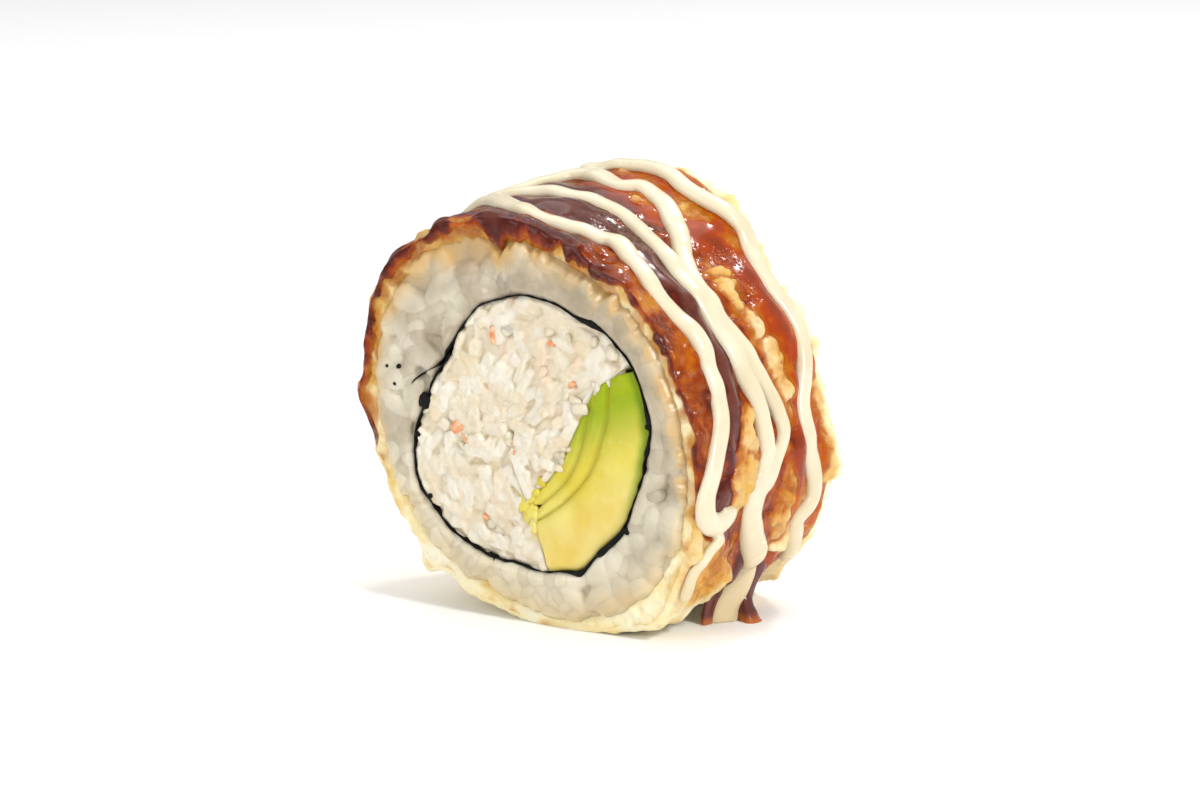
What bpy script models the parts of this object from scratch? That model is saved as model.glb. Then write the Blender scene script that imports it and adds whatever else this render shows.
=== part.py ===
# One piece of a fried sushi roll, resting on its browned side with a cut face to -Y.
# Metres, +Z up. The roll's axis runs along Y through (0, ROLL_HEIGHT).

import math

import bmesh
import bpy
import numpy as np
from mathutils import Matrix, Vector, noise

for obj in list(bpy.data.objects):
    bpy.data.objects.remove(obj)

MM = 0.001

# Driving dimensions, in millimetres and degrees
ROLL_LENGTH = 25.4
HALF = ROLL_LENGTH / 2
ROLL_HEIGHT = 21.4
ROLL_X = -0.2
CRUST_RADIUS = 21.66
CRUST_WAVES = [(1, 0.74, -121), (2, 1.66, -87), (4, 0.32, 163)]
BATTER_THICKNESS = 1.9
CRAG_HEIGHT = 0.5
GAP = 0.3

NORI_RADIUS = 14.58
NORI_WAVES = [(1, 1.46, -76), (2, 0.63, 83), (3, 0.35, -69), (4, 0.49, 98)]
NORI_THICKNESS = 0.45
NORI_CORNER = (-66, 0.5, 6)
LAP_START = 171
LAP_END = 148
LAP_FLARE = 2.0

RICE_GRAINS = 44
GRAIN_LENGTH = 5.2
GRAIN_WIDTH = 2.7
CRAB_FLAKES = 38

MAYO_WIDTH = 2.0
MAYO_HEIGHT = 1.1

# Lumps on the crust: angle, y, height, half-width in degrees, half-width along y
LUMPS = [
    (82, 13.5, 3.2, 22, 6.0),
    (110, 6.0, 1.2, 20, 11.0),
    (64, 12.0, 0.6, 10, 4.0),
    (-13, 12.7, 0.9, 8, 4.0),
    (3, 12.7, -0.8, 9, 4.0),
    (151, -12.0, 0.6, 5, 3.0),
    (178, -12.0, 0.8, 5, 3.0),
    (-129, -12.0, 1.6, 4, 3.0),
    (-38, -11.0, 0.7, 9, 4.0),
    (30, 5.0, 0.8, 10, 2.5),
    (-12, 4.2, 0.9, 9, 2.2),
    (-38, -5.5, 0.8, 8, 2.5),
]

# Avocado cuts on the face: x at each height above the roll's axis
CUT_HEIGHTS = [-15.5, -14.5, -12.8, -10.3, -8.0, -5.5, -2.5, 0.5, 4.2, 5.9, 6.7]
AVOCADO_EDGE = [2.6, 2.2, 1.4, 0.3, -0.2, 2.5, 4.4, 5.9, 7.8, 10.1, 12.2]
SLICE_HEIGHTS = [-11.5, -10.0, -9.0, -7.2, -5.1, -2.4, 1.2, 4.1, 5.4]
SLICE_CUT_1 = [-1.0, 1.6, 3.3, 5.4, 7.4, 8.7, 9.9, 10.2, 10.2]
SLICE_CUT_2 = [-1.0, 0.2, 0.9, 3.2, 5.2, 6.5, 7.4, 8.0, 8.6]

# Drizzle routes over the crust: angle and y
DRIZZLE = {
    "front": [(150, -5), (134, -6.5), (118, -7), (104, -9.5), (90, -10.9), (77, -8.2),
              (68, -7.2), (50, -10.4), (35, -10.3), (20, -8.3), (5, -8.3), (-8, -10.8),
              (-15, -11.8), (-20, -11.1), (-22, -9), (-18, -7.6)],
    "second": [(122, -5.6), (112, -3.6), (100, -2.4), (82, -0.8), (65, -2.6), (46, -5),
               (30, -5.4), (15, -4), (0, -1.2), (-10, -1.2), (-22, -3.6), (-31, -2.8),
               (-40, -0.7), (-52, 2.4)],
    "third": [(150, 7), (136, 8), (122, 7.4), (108, 7.8), (97, 5.7), (88, 5), (79, 5.5),
              (68, 2.3), (57, -1.1), (46, -2.5), (34, -2.9), (20, -0.9), (7, 1), (-6, 1.9),
              (-14, 0.6), (-22, -1.5), (-31, -0.4), (-43, 2.6), (-52, 3.2)],
    "rear": [(112, 8.6), (101, 8), (91, 10.2), (78, 9.6), (64, 10.5), (52, 10.4),
             (38, 8.5), (24, 9.3), (8, 7.8), (-5, 6.2), (-18, 8.6), (-27, 7), (-35, 7.6),
             (-41, 7.2), (-43, 4.9)],
}


def waves(angle, mean, terms):
    radius = mean
    for count, size, phase in terms:
        radius += size * math.cos(count * angle - math.radians(phase))
    return radius


def turn_between(a, b):
    return (a - b + math.pi) % (2 * math.pi) - math.pi


def crust_body(angle):
    return waves(angle, CRUST_RADIUS, CRUST_WAVES)


def crust(angle, y):
    radius = crust_body(angle)
    for place, along, height, wide, deep in LUMPS:
        across = turn_between(angle, math.radians(place)) / math.radians(wide)
        radius += height * math.exp(-(across ** 2) - ((y - along) / deep) ** 2)
    spot = Vector((math.cos(angle) * 22, y, math.sin(angle) * 22))
    radius += CRAG_HEIGHT * noise.noise(spot * 0.28)
    radius += CRAG_HEIGHT * 0.6 * noise.noise(spot * 0.6 + Vector((9, 4, 2)))
    return radius


def batter_inside(angle, y=0.0):
    return crust_body(angle) - BATTER_THICKNESS


def rice_outside(angle, y=0.0):
    return batter_inside(angle) - GAP


def nori_line(angle):
    ripple = 0.12 * math.sin(9 * angle + 1) + 0.08 * math.sin(16 * angle)
    at, height, wide = NORI_CORNER
    across = turn_between(angle, math.radians(at)) / math.radians(wide)
    corner = height * math.exp(-(across ** 2))
    return waves(angle, NORI_RADIUS, NORI_WAVES) + ripple + corner


def ramp(value, low, high):
    part = min(max((value - low) / (high - low), 0.0), 1.0)
    return part * part * (3 - 2 * part)


def outer_lap(degrees):
    """How far the sheet's outer end stands off the ring."""
    return 0.42 * ramp(degrees, 136, 150) + (LAP_FLARE - 0.42) * ramp(degrees, 156, LAP_START)


def inner_lap(degrees):
    """How far the sheet's inner end lies inside the ring."""
    return -0.45 * ramp(190 - degrees, 0, 18)


def to_degrees(angle):
    return math.degrees(angle) % 360


def rice_inside(angle, y=0.0):
    degrees = to_degrees(angle)
    stand = outer_lap(degrees) * ramp(178 - degrees, 0, 178 - LAP_START - 0.5)
    return nori_line(angle) + stand + NORI_THICKNESS / 2 + GAP


def filling_outside(angle):
    degrees = to_degrees(angle)
    tuck = inner_lap(degrees) * ramp(degrees, LAP_END - 12, LAP_END - 3)
    return nori_line(angle) + tuck - NORI_THICKNESS / 2 - GAP


def place(angle, radius, y):
    return Vector((radius * math.cos(angle), y, ROLL_HEIGHT + radius * math.sin(angle)))


def add_object(name, bm):
    bmesh.ops.recalc_face_normals(bm, faces=bm.faces)
    bmesh.ops.scale(bm, vec=(MM, MM, MM), verts=bm.verts)
    mesh = bpy.data.meshes.new(name)
    bm.to_mesh(mesh)
    bm.free()
    obj = bpy.data.objects.new(name, mesh)
    bpy.context.scene.collection.objects.link(obj)
    return obj


def add_material(obj, base_color, roughness):
    material = bpy.data.materials.new(obj.name)
    material.use_nodes = True
    shader = material.node_tree.nodes["Principled BSDF"]
    shader.inputs["Base Color"].default_value = (*base_color, 1)
    shader.inputs["Roughness"].default_value = roughness
    obj.data.materials.clear()
    obj.data.materials.append(material)


def skin(bm, rows, closed):
    """Quads between neighbouring rows of vertices."""
    for row, following in zip(rows, rows[1:]):
        count = len(row)
        for i in range(count if closed else count - 1):
            j = (i + 1) % count
            bm.faces.new((row[i], row[j], following[j], following[i]))


def add_ring(name, outside, inside, stations, count):
    bm = bmesh.new()
    angles = [2 * math.pi * i / count for i in range(count)]
    outer = [[bm.verts.new(place(a, outside(a, y), y)) for a in angles] for y in stations]
    ends = (stations[0], stations[-1])
    inner = [[bm.verts.new(place(a, inside(a, y), y)) for a in angles] for y in ends]
    skin(bm, outer, closed=True)
    skin(bm, inner, closed=True)
    skin(bm, [outer[0], inner[0]], closed=True)
    skin(bm, [outer[-1], inner[-1]], closed=True)
    return add_object(name, bm)


def add_prism(name, outline, stations, shrink, dome=None):
    """A closed outline run along y, drawn in a little at both ends, flat or domed there."""
    bm = bmesh.new()
    middle = sum((Vector(p) for p in outline), Vector((0, 0))) / len(outline)
    rows = []
    for y, size in zip(stations, shrink):
        points = [middle + (Vector(p) - middle) * size for p in outline]
        rows.append([bm.verts.new((p.x, y, ROLL_HEIGHT + p.y)) for p in points])
    skin(bm, rows, closed=True)
    caps = [bm.faces.new(rows[0]), bm.faces.new(rows[-1])]
    if dome:
        for cap, y in zip(caps, (stations[0] - dome, stations[-1] + dome)):
            top = bmesh.ops.poke(bm, faces=[cap])["verts"][0]
            top.co = (-5, y, ROLL_HEIGHT)
    else:
        bmesh.ops.triangulate(bm, faces=caps)
    return add_object(name, bm)


def apply_modifiers(obj):
    graph = bpy.context.evaluated_depsgraph_get()
    mesh = bpy.data.meshes.new_from_object(obj.evaluated_get(graph))
    obj.modifiers.clear()
    obj.data = mesh


def keep_largest(obj):
    """Drops loose scraps, and with them any shell shut inside."""
    bm = bmesh.new()
    bm.from_mesh(obj.data)
    unseen = set(bm.verts)
    groups = []
    while unseen:
        group = {unseen.pop()}
        edge_of = list(group)
        while edge_of:
            vert = edge_of.pop()
            for edge in vert.link_edges:
                other = edge.other_vert(vert)
                if other in unseen:
                    unseen.discard(other)
                    group.add(other)
                    edge_of.append(other)
        groups.append(group)
    largest = max(groups, key=len)
    loose = [v for group in groups if group is not largest for v in group]
    bmesh.ops.delete(bm, geom=loose, context="VERTS")
    bmesh.ops.dissolve_degenerate(bm, dist=1e-6, edges=bm.edges)
    bm.to_mesh(obj.data)
    bm.free()


def fuse(obj, pieces):
    group = bpy.data.collections.new(obj.name + "_pieces")
    bpy.context.scene.collection.children.link(group)
    for piece in pieces:
        bpy.context.scene.collection.objects.unlink(piece)
        group.objects.link(piece)
        piece.hide_render = True
        piece.display_type = "WIRE"
    union = obj.modifiers.new("pieces", "BOOLEAN")
    union.operation = "UNION"
    union.operand_type = "COLLECTION"
    union.collection = group
    union.solver = "MANIFOLD"
    apply_modifiers(obj)
    for piece in pieces:
        bpy.data.objects.remove(piece)
    bpy.data.collections.remove(group)
    keep_largest(obj)


def cut_flat(obj):
    """Levels everything below the floor."""
    bm = bmesh.new()
    bmesh.ops.create_cube(bm, size=1)
    bmesh.ops.scale(bm, vec=(80, 60, 10), verts=bm.verts)
    bmesh.ops.translate(bm, vec=(0, 0, -5), verts=bm.verts)
    floor = add_object("floor_cutter", bm)
    floor.hide_render = True
    floor.display_type = "WIRE"
    cut = obj.modifiers.new("floor", "BOOLEAN")
    cut.operation = "DIFFERENCE"
    cut.object = floor
    cut.solver = "MANIFOLD"
    apply_modifiers(obj)
    bpy.data.objects.remove(floor)
    keep_largest(obj)


def smooth_route(points, step):
    """A Catmull-Rom curve through the points, cut into even steps."""
    padded = [2 * points[0] - points[1], *points, 2 * points[-1] - points[-2]]
    fine = []
    for a, b, c, d in zip(padded, padded[1:], padded[2:], padded[3:]):
        for k in range(8):
            t = k / 8
            fine.append(0.5 * (2 * b + (c - a) * t + (2 * a - 5 * b + 4 * c - d) * t ** 2
                               + (3 * b - a - 3 * c + d) * t ** 3))
    fine.append(points[-1])
    lengths = np.cumsum([0] + [(q - p).length for p, q in zip(fine, fine[1:])])
    even = np.linspace(0, lengths[-1], max(3, round(lengths[-1] / step)))
    axes = [np.interp(even, lengths, [p[i] for p in fine]) for i in range(3)]
    return [Vector(p) for p in zip(*axes)]


def add_bead(name, route, widths, height, ups, sunk=0.9):
    """A rounded bead along the route; ups gives the way out of the crust at each point."""
    profile = [(-1, -sunk), (-0.97, 0.2), (-0.55, 0.8), (0, 1), (0.55, 0.8), (0.97, 0.2),
               (1, -sunk)]
    bm = bmesh.new()
    rows = []
    last = len(route) - 1
    for i, (point, up) in enumerate(zip(route, ups)):
        ahead = (route[min(i + 1, last)] - route[max(i - 1, 0)]).normalized()
        side = ahead.cross(up).normalized()
        size = 0.55 if i in (0, last) else 1
        half = size * np.interp(i / last, np.linspace(0, 1, len(widths)), widths) / 2
        rise = height * size
        rows.append([bm.verts.new(point + side * half * x + up * (z * (rise if z > 0 else 1)))
                     for x, z in profile])
    skin(bm, rows, closed=True)
    bm.faces.new(rows[0])
    bm.faces.new(rows[-1])
    return add_object(name, bm)


def add_drizzle(name, stops):
    points = [place(math.radians(a), crust(math.radians(a), y), y) for a, y in stops]
    route = []
    ups = []
    for point in smooth_route(points, 2.4):
        angle = math.atan2(point.z - ROLL_HEIGHT, point.x)
        route.append(place(angle, crust(angle, point.y), point.y))
        ups.append(Vector((math.cos(angle), 0, math.sin(angle))))
    return add_bead("mayo_" + name, route, [MAYO_WIDTH, MAYO_WIDTH], MAYO_HEIGHT, ups)


def add_run(name, points, widths, height):
    """A run that leaves the crust and ends on the floor."""
    route = smooth_route([Vector(p) for p in points], 1.1)
    ups = [Vector((0.55, -0.15, 0.6 + 0.3 * i / len(route))).normalized()
           for i in range(len(route))]
    return add_bead(name, route, widths, height, ups, sunk=1.0)


def add_pieces(name, count, spacing, make, allowed, spot, rng):
    """Scatters pieces over both cut faces, each one clear of its neighbours' nodes."""
    pieces = []
    for side in (-1, 1):
        centres = []
        tries = 0
        while len(centres) < count and tries < 6000:
            tries += 1
            centre = spot()
            if any((centre - other).length < spacing for other in centres):
                continue
            bm = make(centre, side, rng)
            if all(allowed(v.co.x, v.co.z - ROLL_HEIGHT) for v in bm.verts):
                centres.append(centre)
                pieces.append(add_object(f"{name}_{len(pieces)}", bm))
            else:
                bm.free()
    return pieces


# Fried batter with its crags, the drizzle on it and the runs down to the floor
stations = np.linspace(-HALF, HALF, 12)
batter = add_ring("tempura_batter", crust, batter_inside, stations, 84)
drizzle = [add_drizzle(name, stops) for name, stops in DRIZZLE.items()]
drizzle.append(add_run("mayo_run", [place(math.radians(-47), 23.2, 1.8),
                                    place(math.radians(-54), 23.4, 2.4),
                                    (15.0, 1.6, 1.1), (15.5, 0.6, 0.2)], [2.6, 3.0], 1.0))
drizzle.append(add_run("sauce_run", [place(math.radians(-44), 23.0, 5.2),
                                     place(math.radians(-52), 23.3, 5.2),
                                     (16.2, 4.2, 1.5), (18.0, 3.0, 0.1)], [2.6, 2.4, 1.6], 0.8))
fuse(batter, drizzle)
cut_flat(batter)
add_material(batter, (0.62, 0.36, 0.13), 0.5)

# Rice packed between the batter and the seaweed, grains standing out of both cuts
rng = np.random.default_rng(11)
rice = add_ring("rice_ring", rice_outside, rice_inside, [-HALF + 0.4, 0, HALF - 0.4], 72)


def rice_spot():
    angle = rng.uniform(-math.pi, math.pi)
    inside = rice_inside(angle)
    radius = inside + (rice_outside(angle) - inside) * rng.uniform(0.25, 0.75)
    return Vector((radius * math.cos(angle), radius * math.sin(angle)))


def in_rice(x, z):
    angle = math.atan2(z, x)
    radius = math.hypot(x, z)
    return rice_inside(angle) + 0.05 < radius < rice_outside(angle) - 0.05


def rice_grain(centre, side, rng):
    bm = bmesh.new()
    bmesh.ops.create_uvsphere(bm, u_segments=6, v_segments=4, radius=0.5)
    long = GRAIN_LENGTH * rng.uniform(0.62, 1)
    wide = GRAIN_WIDTH * rng.uniform(0.85, 1.1)
    bmesh.ops.scale(bm, vec=(wide, wide, long), verts=bm.verts)
    along = math.atan2(centre.y, centre.x) + math.pi / 2 + rng.uniform(-0.9, 0.9)
    lie = Matrix.Rotation(rng.uniform(-0.3, 0.3), 4, "X")
    turn = Matrix.Rotation(-along, 4, "Y") @ Matrix.Rotation(math.pi / 2, 4, "Y")
    spot = Vector((centre.x, side * (HALF - 1.0 + rng.uniform(-0.15, 0.2)),
                   ROLL_HEIGHT + centre.y))
    bmesh.ops.transform(bm, matrix=Matrix.Translation(spot) @ turn @ lie, verts=bm.verts)
    return bm


fuse(rice, add_pieces("grain", RICE_GRAINS, 2.6, rice_grain, in_rice, rice_spot, rng))
add_material(rice, (0.72, 0.66, 0.52), 0.55)

# Seaweed sheet rolled once round the filling, its outer end lifting away at the lap
bm = bmesh.new()
start = math.radians(LAP_START)
end = math.radians(LAP_END - 360)
sheet = [[], [], [], []]
for angle in np.linspace(start, end, 72):
    degrees = math.degrees(angle)
    if degrees > 0:
        radius = nori_line(angle) + outer_lap(degrees)
    else:
        radius = nori_line(angle) + inner_lap(degrees + 360)
    for row, y, side in zip(sheet, (-HALF, -HALF, HALF, HALF), (1, -1, -1, 1)):
        row.append(bm.verts.new(place(angle, radius + side * NORI_THICKNESS / 2, y)))
skin(bm, [*sheet, sheet[0]], closed=False)
bm.faces.new([row[0] for row in sheet])
bm.faces.new([row[-1] for row in sheet])
nori = add_object("nori_sheet", bm)
add_material(nori, (0.01, 0.016, 0.008), 0.6)


# Three avocado slices against the right of the seaweed
def avocado_edge(z):
    return float(np.interp(z, CUT_HEIGHTS, AVOCADO_EDGE))


def cut_line(z, cut):
    return max(float(np.interp(z, SLICE_HEIGHTS, cut)), avocado_edge(z))


def between(heights, left, right):
    """A slice outline from the x limits at each height, both drawn in by half a gap."""
    down = [(right(z) - GAP / 2, z) for z in heights]
    up = [(left(z) + GAP / 2, z) for z in reversed(heights)]
    return [*down, *up]


def cut_1(z):
    return cut_line(z, SLICE_CUT_1)


def cut_2(z):
    return cut_line(z, SLICE_CUT_2)


curve = [Vector((math.cos(a), math.sin(a))) * filling_outside(a)
         for a in np.radians(np.linspace(26, -80, 22))]
cut = [(cut_1(z) + GAP / 2, z) for z in np.linspace(-14.1, 5.9, 15)]
slices = [
    [*curve, *cut],
    between(np.linspace(4.9, -9.8, 14), cut_2, cut_1),
    between(np.linspace(3.4, -7.6, 12), avocado_edge, cut_2),
]
for number, outline in enumerate(slices, 1):
    reach = HALF + (0.15, 0.05, -0.1)[number - 1]
    piece = add_prism(f"avocado_slice_{number}", outline,
                      [-reach, -reach + 0.5, reach - 0.5, reach], [0.96, 1, 1, 0.96])
    add_material(piece, (0.62, 0.66, 0.13), 0.4)

# Crab filling: a core under flakes and shreds on both cuts
rng = np.random.default_rng(5)
around = np.radians(np.linspace(28, 262, 44))
curve = [Vector((filling_outside(a) * math.cos(a), filling_outside(a) * math.sin(a)))
         for a in around]
seam = [Vector((avocado_edge(z) - GAP, z)) for z in np.linspace(-13.9, 6.2, 14)]
crab = add_prism("crab_filling", [*curve, *seam],
                 [-HALF + 0.6, -HALF + 1, HALF - 1, HALF - 0.6], [0.97, 1, 1, 0.97], dome=0.3)


def in_filling(x, z):
    angle = math.atan2(z, x)
    if math.hypot(x, z) > filling_outside(angle) - 0.05:
        return False
    return z > 6.7 or x < avocado_edge(z) - GAP - 0.05


def filling_spot():
    return Vector((rng.uniform(-15, 11), rng.uniform(-15, 14)))


def crab_flake(centre, side, rng):
    bm = bmesh.new()
    bmesh.ops.create_icosphere(bm, subdivisions=1, radius=0.5)
    size = (rng.uniform(3.0, 5.6), rng.uniform(1.7, 2.4), rng.uniform(1.5, 2.2))
    bmesh.ops.scale(bm, vec=size, verts=bm.verts)
    turn = Matrix.Rotation(rng.uniform(0, math.pi), 4, "Y")
    lie = Matrix.Rotation(rng.uniform(-0.25, 0.25), 4, "Z")
    spot = Vector((centre.x, side * (HALF - 0.6 + rng.uniform(-0.1, 0.3)),
                   ROLL_HEIGHT + centre.y))
    bmesh.ops.transform(bm, matrix=Matrix.Translation(spot) @ turn @ lie, verts=bm.verts)
    return bm


fuse(crab, add_pieces("flake", CRAB_FLAKES, 2.0, crab_flake, in_filling, filling_spot, rng))
add_material(crab, (0.82, 0.73, 0.58), 0.55)

# The footprint's middle goes to the origin
for obj in bpy.context.scene.objects:
    obj.data.transform(Matrix.Translation((ROLL_X * MM, 0, 0)))
    print(obj.name, len(obj.data.polygons))
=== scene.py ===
import math

import bmesh
import bpy
import numpy as np
from mathutils import Matrix, Vector, noise


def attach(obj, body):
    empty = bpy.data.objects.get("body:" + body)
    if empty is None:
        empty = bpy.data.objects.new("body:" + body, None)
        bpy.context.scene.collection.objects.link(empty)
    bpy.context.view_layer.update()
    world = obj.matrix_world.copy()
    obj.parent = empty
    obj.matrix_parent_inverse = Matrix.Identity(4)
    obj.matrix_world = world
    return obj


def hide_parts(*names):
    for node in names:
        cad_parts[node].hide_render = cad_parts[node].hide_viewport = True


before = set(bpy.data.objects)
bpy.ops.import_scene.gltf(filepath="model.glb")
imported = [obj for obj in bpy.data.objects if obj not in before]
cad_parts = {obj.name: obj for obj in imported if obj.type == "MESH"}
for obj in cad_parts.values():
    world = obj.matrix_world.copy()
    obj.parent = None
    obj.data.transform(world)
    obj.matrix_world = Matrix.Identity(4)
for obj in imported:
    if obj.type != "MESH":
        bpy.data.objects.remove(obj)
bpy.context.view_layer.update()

mm = 0.001

# The roll lies along y, front cut at -half; all lengths are millimetres until a mesh is made
roll = {
    "half": 12.7, "height": 21.4, "shiftX": -0.2,
    "radius": 21.66, "waves": [(1, 0.74, -121), (2, 1.66, -87), (4, 0.32, 163)],
    "batter": 1.9, "crag": 0.5, "fineCrag": 0.3, "noiseRadius": 22.0,
    "noriRadius": 14.58, "noriWaves": [(1, 1.46, -76), (2, 0.63, 83), (3, 0.35, -69), (4, 0.49, 98)],
    "noriCorner": (-66, 0.5, 6), "sheet": 0.2,
    # the lap of the sheet, in degrees and mm: its flared outer end, and its inner end tucked under
    "lapStart": 171, "lapEnd": 148, "lapFlare": 2.0, "flareFrom": 156, "lapLift": 0.16, "liftOver": (136, 150),
    "pocketEnd": (157, 163), "tuckFrom": 190, "tuckOver": 18,
}
half = roll["half"]

# Broad lumps of the crust: angle, y, height, half-widths in degrees and mm
broadLumps = [
    (84, 13.5, 3.9, 24, 6.5), (110, 5.0, 1.5, 22, 12.0), (-50, -9.5, 1.8, 8, 6.0), (64, 12.0, 0.6, 10, 4.0),
    (-13, 12.7, 0.9, 8, 4.0), (3, 12.7, -0.8, 9, 4.0), (151, -12.0, 0.6, 5, 3.0),
    (178, -12.0, 0.8, 5, 3.0), (-129, -12.0, 1.6, 4, 3.0), (-38, -11.0, 0.7, 9, 4.0),
    (30, 5.0, 0.3, 10, 2.5), (-12, 4.2, 0.3, 9, 2.2), (-38, -5.5, 0.4, 8, 2.5),
]


# Shapes shared by the pieces

def waves(angle, mean, terms):
    return mean + sum(size * np.cos(count * angle - math.radians(phase)) for count, size, phase in terms)


def turnBetween(a, b):
    return (a - b + np.pi) % (2 * np.pi) - np.pi


def degreesAround(angle, middle):
    # Degrees that run on past 180, within half a turn of the middle
    return np.degrees(turnBetween(angle, math.radians(middle))) + middle


def ramp(value, low, high):
    part = np.clip((value - low) / (high - low), 0, 1)
    return part * part * (3 - 2 * part)


def alongTurn(angle, stops):
    # A value given at some degrees, carried on between them right round the roll
    at, values = np.array(stops).T
    at = np.concatenate([at - 360, at, at + 360])
    return np.interp(degreesAround(angle, 0), at, np.tile(values, 3))


def lumpsAt(angle, y, lumps):
    total = 0 * angle + 0 * y
    for at, along, height, wide, deep in lumps:
        across = turnBetween(angle, math.radians(at)) / math.radians(wide)
        total = total + height * np.exp(-across ** 2 - ((y - along) / deep) ** 2)
    return total


def fieldAt(measure, spots, scale, offset):
    flat = np.asarray(spots).reshape(-1, 3) * scale + np.array(offset)
    return np.array([measure(p) for p in flat.tolist()]).reshape(spots.shape[:-1])


def noiseAt(spots, scale, offset=(0, 0, 0)):
    return fieldAt(noise.noise, spots, scale, offset)


def cellGap(spot):
    near = noise.voronoi(spot)[0]
    return min(1.0, near[1] - near[0])


def cellsAt(spots, scale, offset=(0, 0, 0)):
    # Near 1 in the middle of each cell, falling to 0 on the borders between cells
    return fieldAt(cellGap, spots, scale, offset)


def polar(angle, radius, y):
    return np.stack([radius * np.cos(angle), y + 0 * radius * angle, radius * np.sin(angle)], -1)


def onCylinder(angle, y):
    return polar(angle, roll["noiseRadius"], y)


def fullTurn(columns):
    turn = np.linspace(-np.pi, np.pi, columns + 1)
    turn[-1] = turn[0]
    return turn


def fineCrag(angle, y):
    return roll["fineCrag"] * noiseAt(onCylinder(angle, y), 0.6, (9, 4, 2))


def crustBase(angle, y):
    radius = waves(angle, roll["radius"], roll["waves"]) + lumpsAt(angle, y, broadLumps)
    return radius + roll["crag"] * noiseAt(onCylinder(angle, y), 0.28) + fineCrag(angle, y)


def batterInside(angle):
    return waves(angle, roll["radius"], roll["waves"]) - roll["batter"]


def noriLine(angle):
    at, height, wide = roll["noriCorner"]
    corner = height * np.exp(-(turnBetween(angle, math.radians(at)) / math.radians(wide)) ** 2)
    ripple = 0.12 * np.sin(9 * angle + 1) + 0.08 * np.sin(16 * angle)
    return waves(angle, roll["noriRadius"], roll["noriWaves"]) + ripple + corner


def lapRise(degrees):
    return roll["lapLift"] * ramp(degrees, *roll["liftOver"])


def outerLap(degrees):
    flare = ramp(degrees, roll["flareFrom"], roll["lapStart"])
    return lapRise(degrees) + (roll["lapFlare"] - roll["lapLift"]) * flare


def innerLap(degrees):
    return -roll["sheet"] * ramp(roll["tuckFrom"] - degrees, 0, roll["tuckOver"])


def riceInside(angle):
    # The rice follows the sheet, and fills the pocket under its flared end
    degrees = np.degrees(angle) % 360
    return noriLine(angle) + lapRise(degrees) * (1 - ramp(degrees, *roll["pocketEnd"]))


def fillingOutside(angle):
    degrees = np.degrees(angle) % 360
    tuck = innerLap(degrees) * ramp(degrees, roll["lapEnd"] - 12, roll["lapEnd"] - 3)
    return noriLine(angle) + tuck - roll["sheet"]


# Mesh helpers

def bentGrid(spots, values):
    # A grid bent to the given places, its values kept as attributes, welded where its edges meet
    rows, columns = spots.shape[:2]
    bm = bmesh.new()
    bmesh.ops.create_grid(bm, x_segments=columns - 1, y_segments=rows - 1, size=1)
    layers = {key: bm.verts.layers.float.new(key) for key in values}
    for vert in bm.verts:
        i = round((vert.co.y + 1) / 2 * (rows - 1))
        j = round((vert.co.x + 1) / 2 * (columns - 1))
        vert.co = spots[i, j]
        for key, layer in layers.items():
            vert[layer] = values[key][i, j]
    bmesh.ops.remove_doubles(bm, verts=bm.verts, dist=0.001)
    return bm


def joinInto(bm, part):
    mesh = bpy.data.meshes.new("part")
    part.to_mesh(mesh)
    part.free()
    bm.from_mesh(mesh)
    bpy.data.meshes.remove(mesh)


def fillOpen(bm):
    openEdges = [edge for edge in bm.edges if edge.is_boundary]
    if openEdges:
        bmesh.ops.edgeloop_fill(bm, edges=openEdges)


class Skin:
    # Rows of places round a piece, each row with its values
    def __init__(self, *names):
        self.spots = []
        self.values = {name: [] for name in names}

    def add(self, spots, *values):
        self.spots.append(spots)
        for line, value in zip(self.values.values(), values):
            line.append(value + 0 * spots[:, 0])

    def mesh(self, closed=True):
        end = slice(1) if closed else slice(0)
        lines = {name: np.array(line + line[end]) for name, line in self.values.items()}
        return bentGrid(np.array(self.spots + self.spots[end]), lines)


def addObject(name, data):
    added = bpy.data.objects.new(name, data)
    bpy.context.scene.collection.objects.link(added)
    return added


def meshObject(name, bm, material):
    mesh = bpy.data.meshes.new(name)
    bm.to_mesh(mesh)
    bm.free()
    mesh.materials.append(material)
    return addObject(name, mesh)


def addPiece(name, bm, material, slotName, *nodes):
    # The mesh comes in roll millimetres, and is set on the floor in metres
    for vert in bm.verts:
        vert.co.z = max(vert.co.z + roll["height"], 0.0)
        vert.co.x += roll["shiftX"]
    bmesh.ops.scale(bm, vec=(mm, mm, mm), verts=bm.verts)
    bmesh.ops.recalc_face_normals(bm, faces=bm.faces)
    for face in bm.faces:
        face.smooth = True
    piece = meshObject(name, bm, material)
    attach(piece, "root")
    if nodes:
        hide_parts(*nodes)
    print(name, len(piece.data.polygons))
    return piece


def remeshed(piece, voxel, smoothing):
    # Beads that cross are run together into one surface
    remesh = piece.modifiers.new("remesh", "REMESH")
    remesh.mode = "VOXEL"
    remesh.voxel_size = voxel * mm
    remesh.use_smooth_shade = True
    soften = piece.modifiers.new("soften", "SMOOTH")
    soften.factor = 0.5
    soften.iterations = smoothing
    graph = bpy.context.evaluated_depsgraph_get()
    mesh = bpy.data.meshes.new_from_object(piece.evaluated_get(graph))
    piece.modifiers.clear()
    piece.data = mesh
    for vert in mesh.vertices:
        vert.co.z = max(vert.co.z, 0.0)
    print(piece.name, "remeshed", len(mesh.polygons))


# Material helpers

studioLight = 0.8


def paint(r, g, b, light):
    # The linear colour that the studio light shows as this one, 0 to 255
    linear = [((c / 255 + 0.055) / 1.055) ** 2.4 if c > 10 else c / 255 / 12.92 for c in (r, g, b)]
    return (*[c * light for c in linear], 1)


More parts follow.
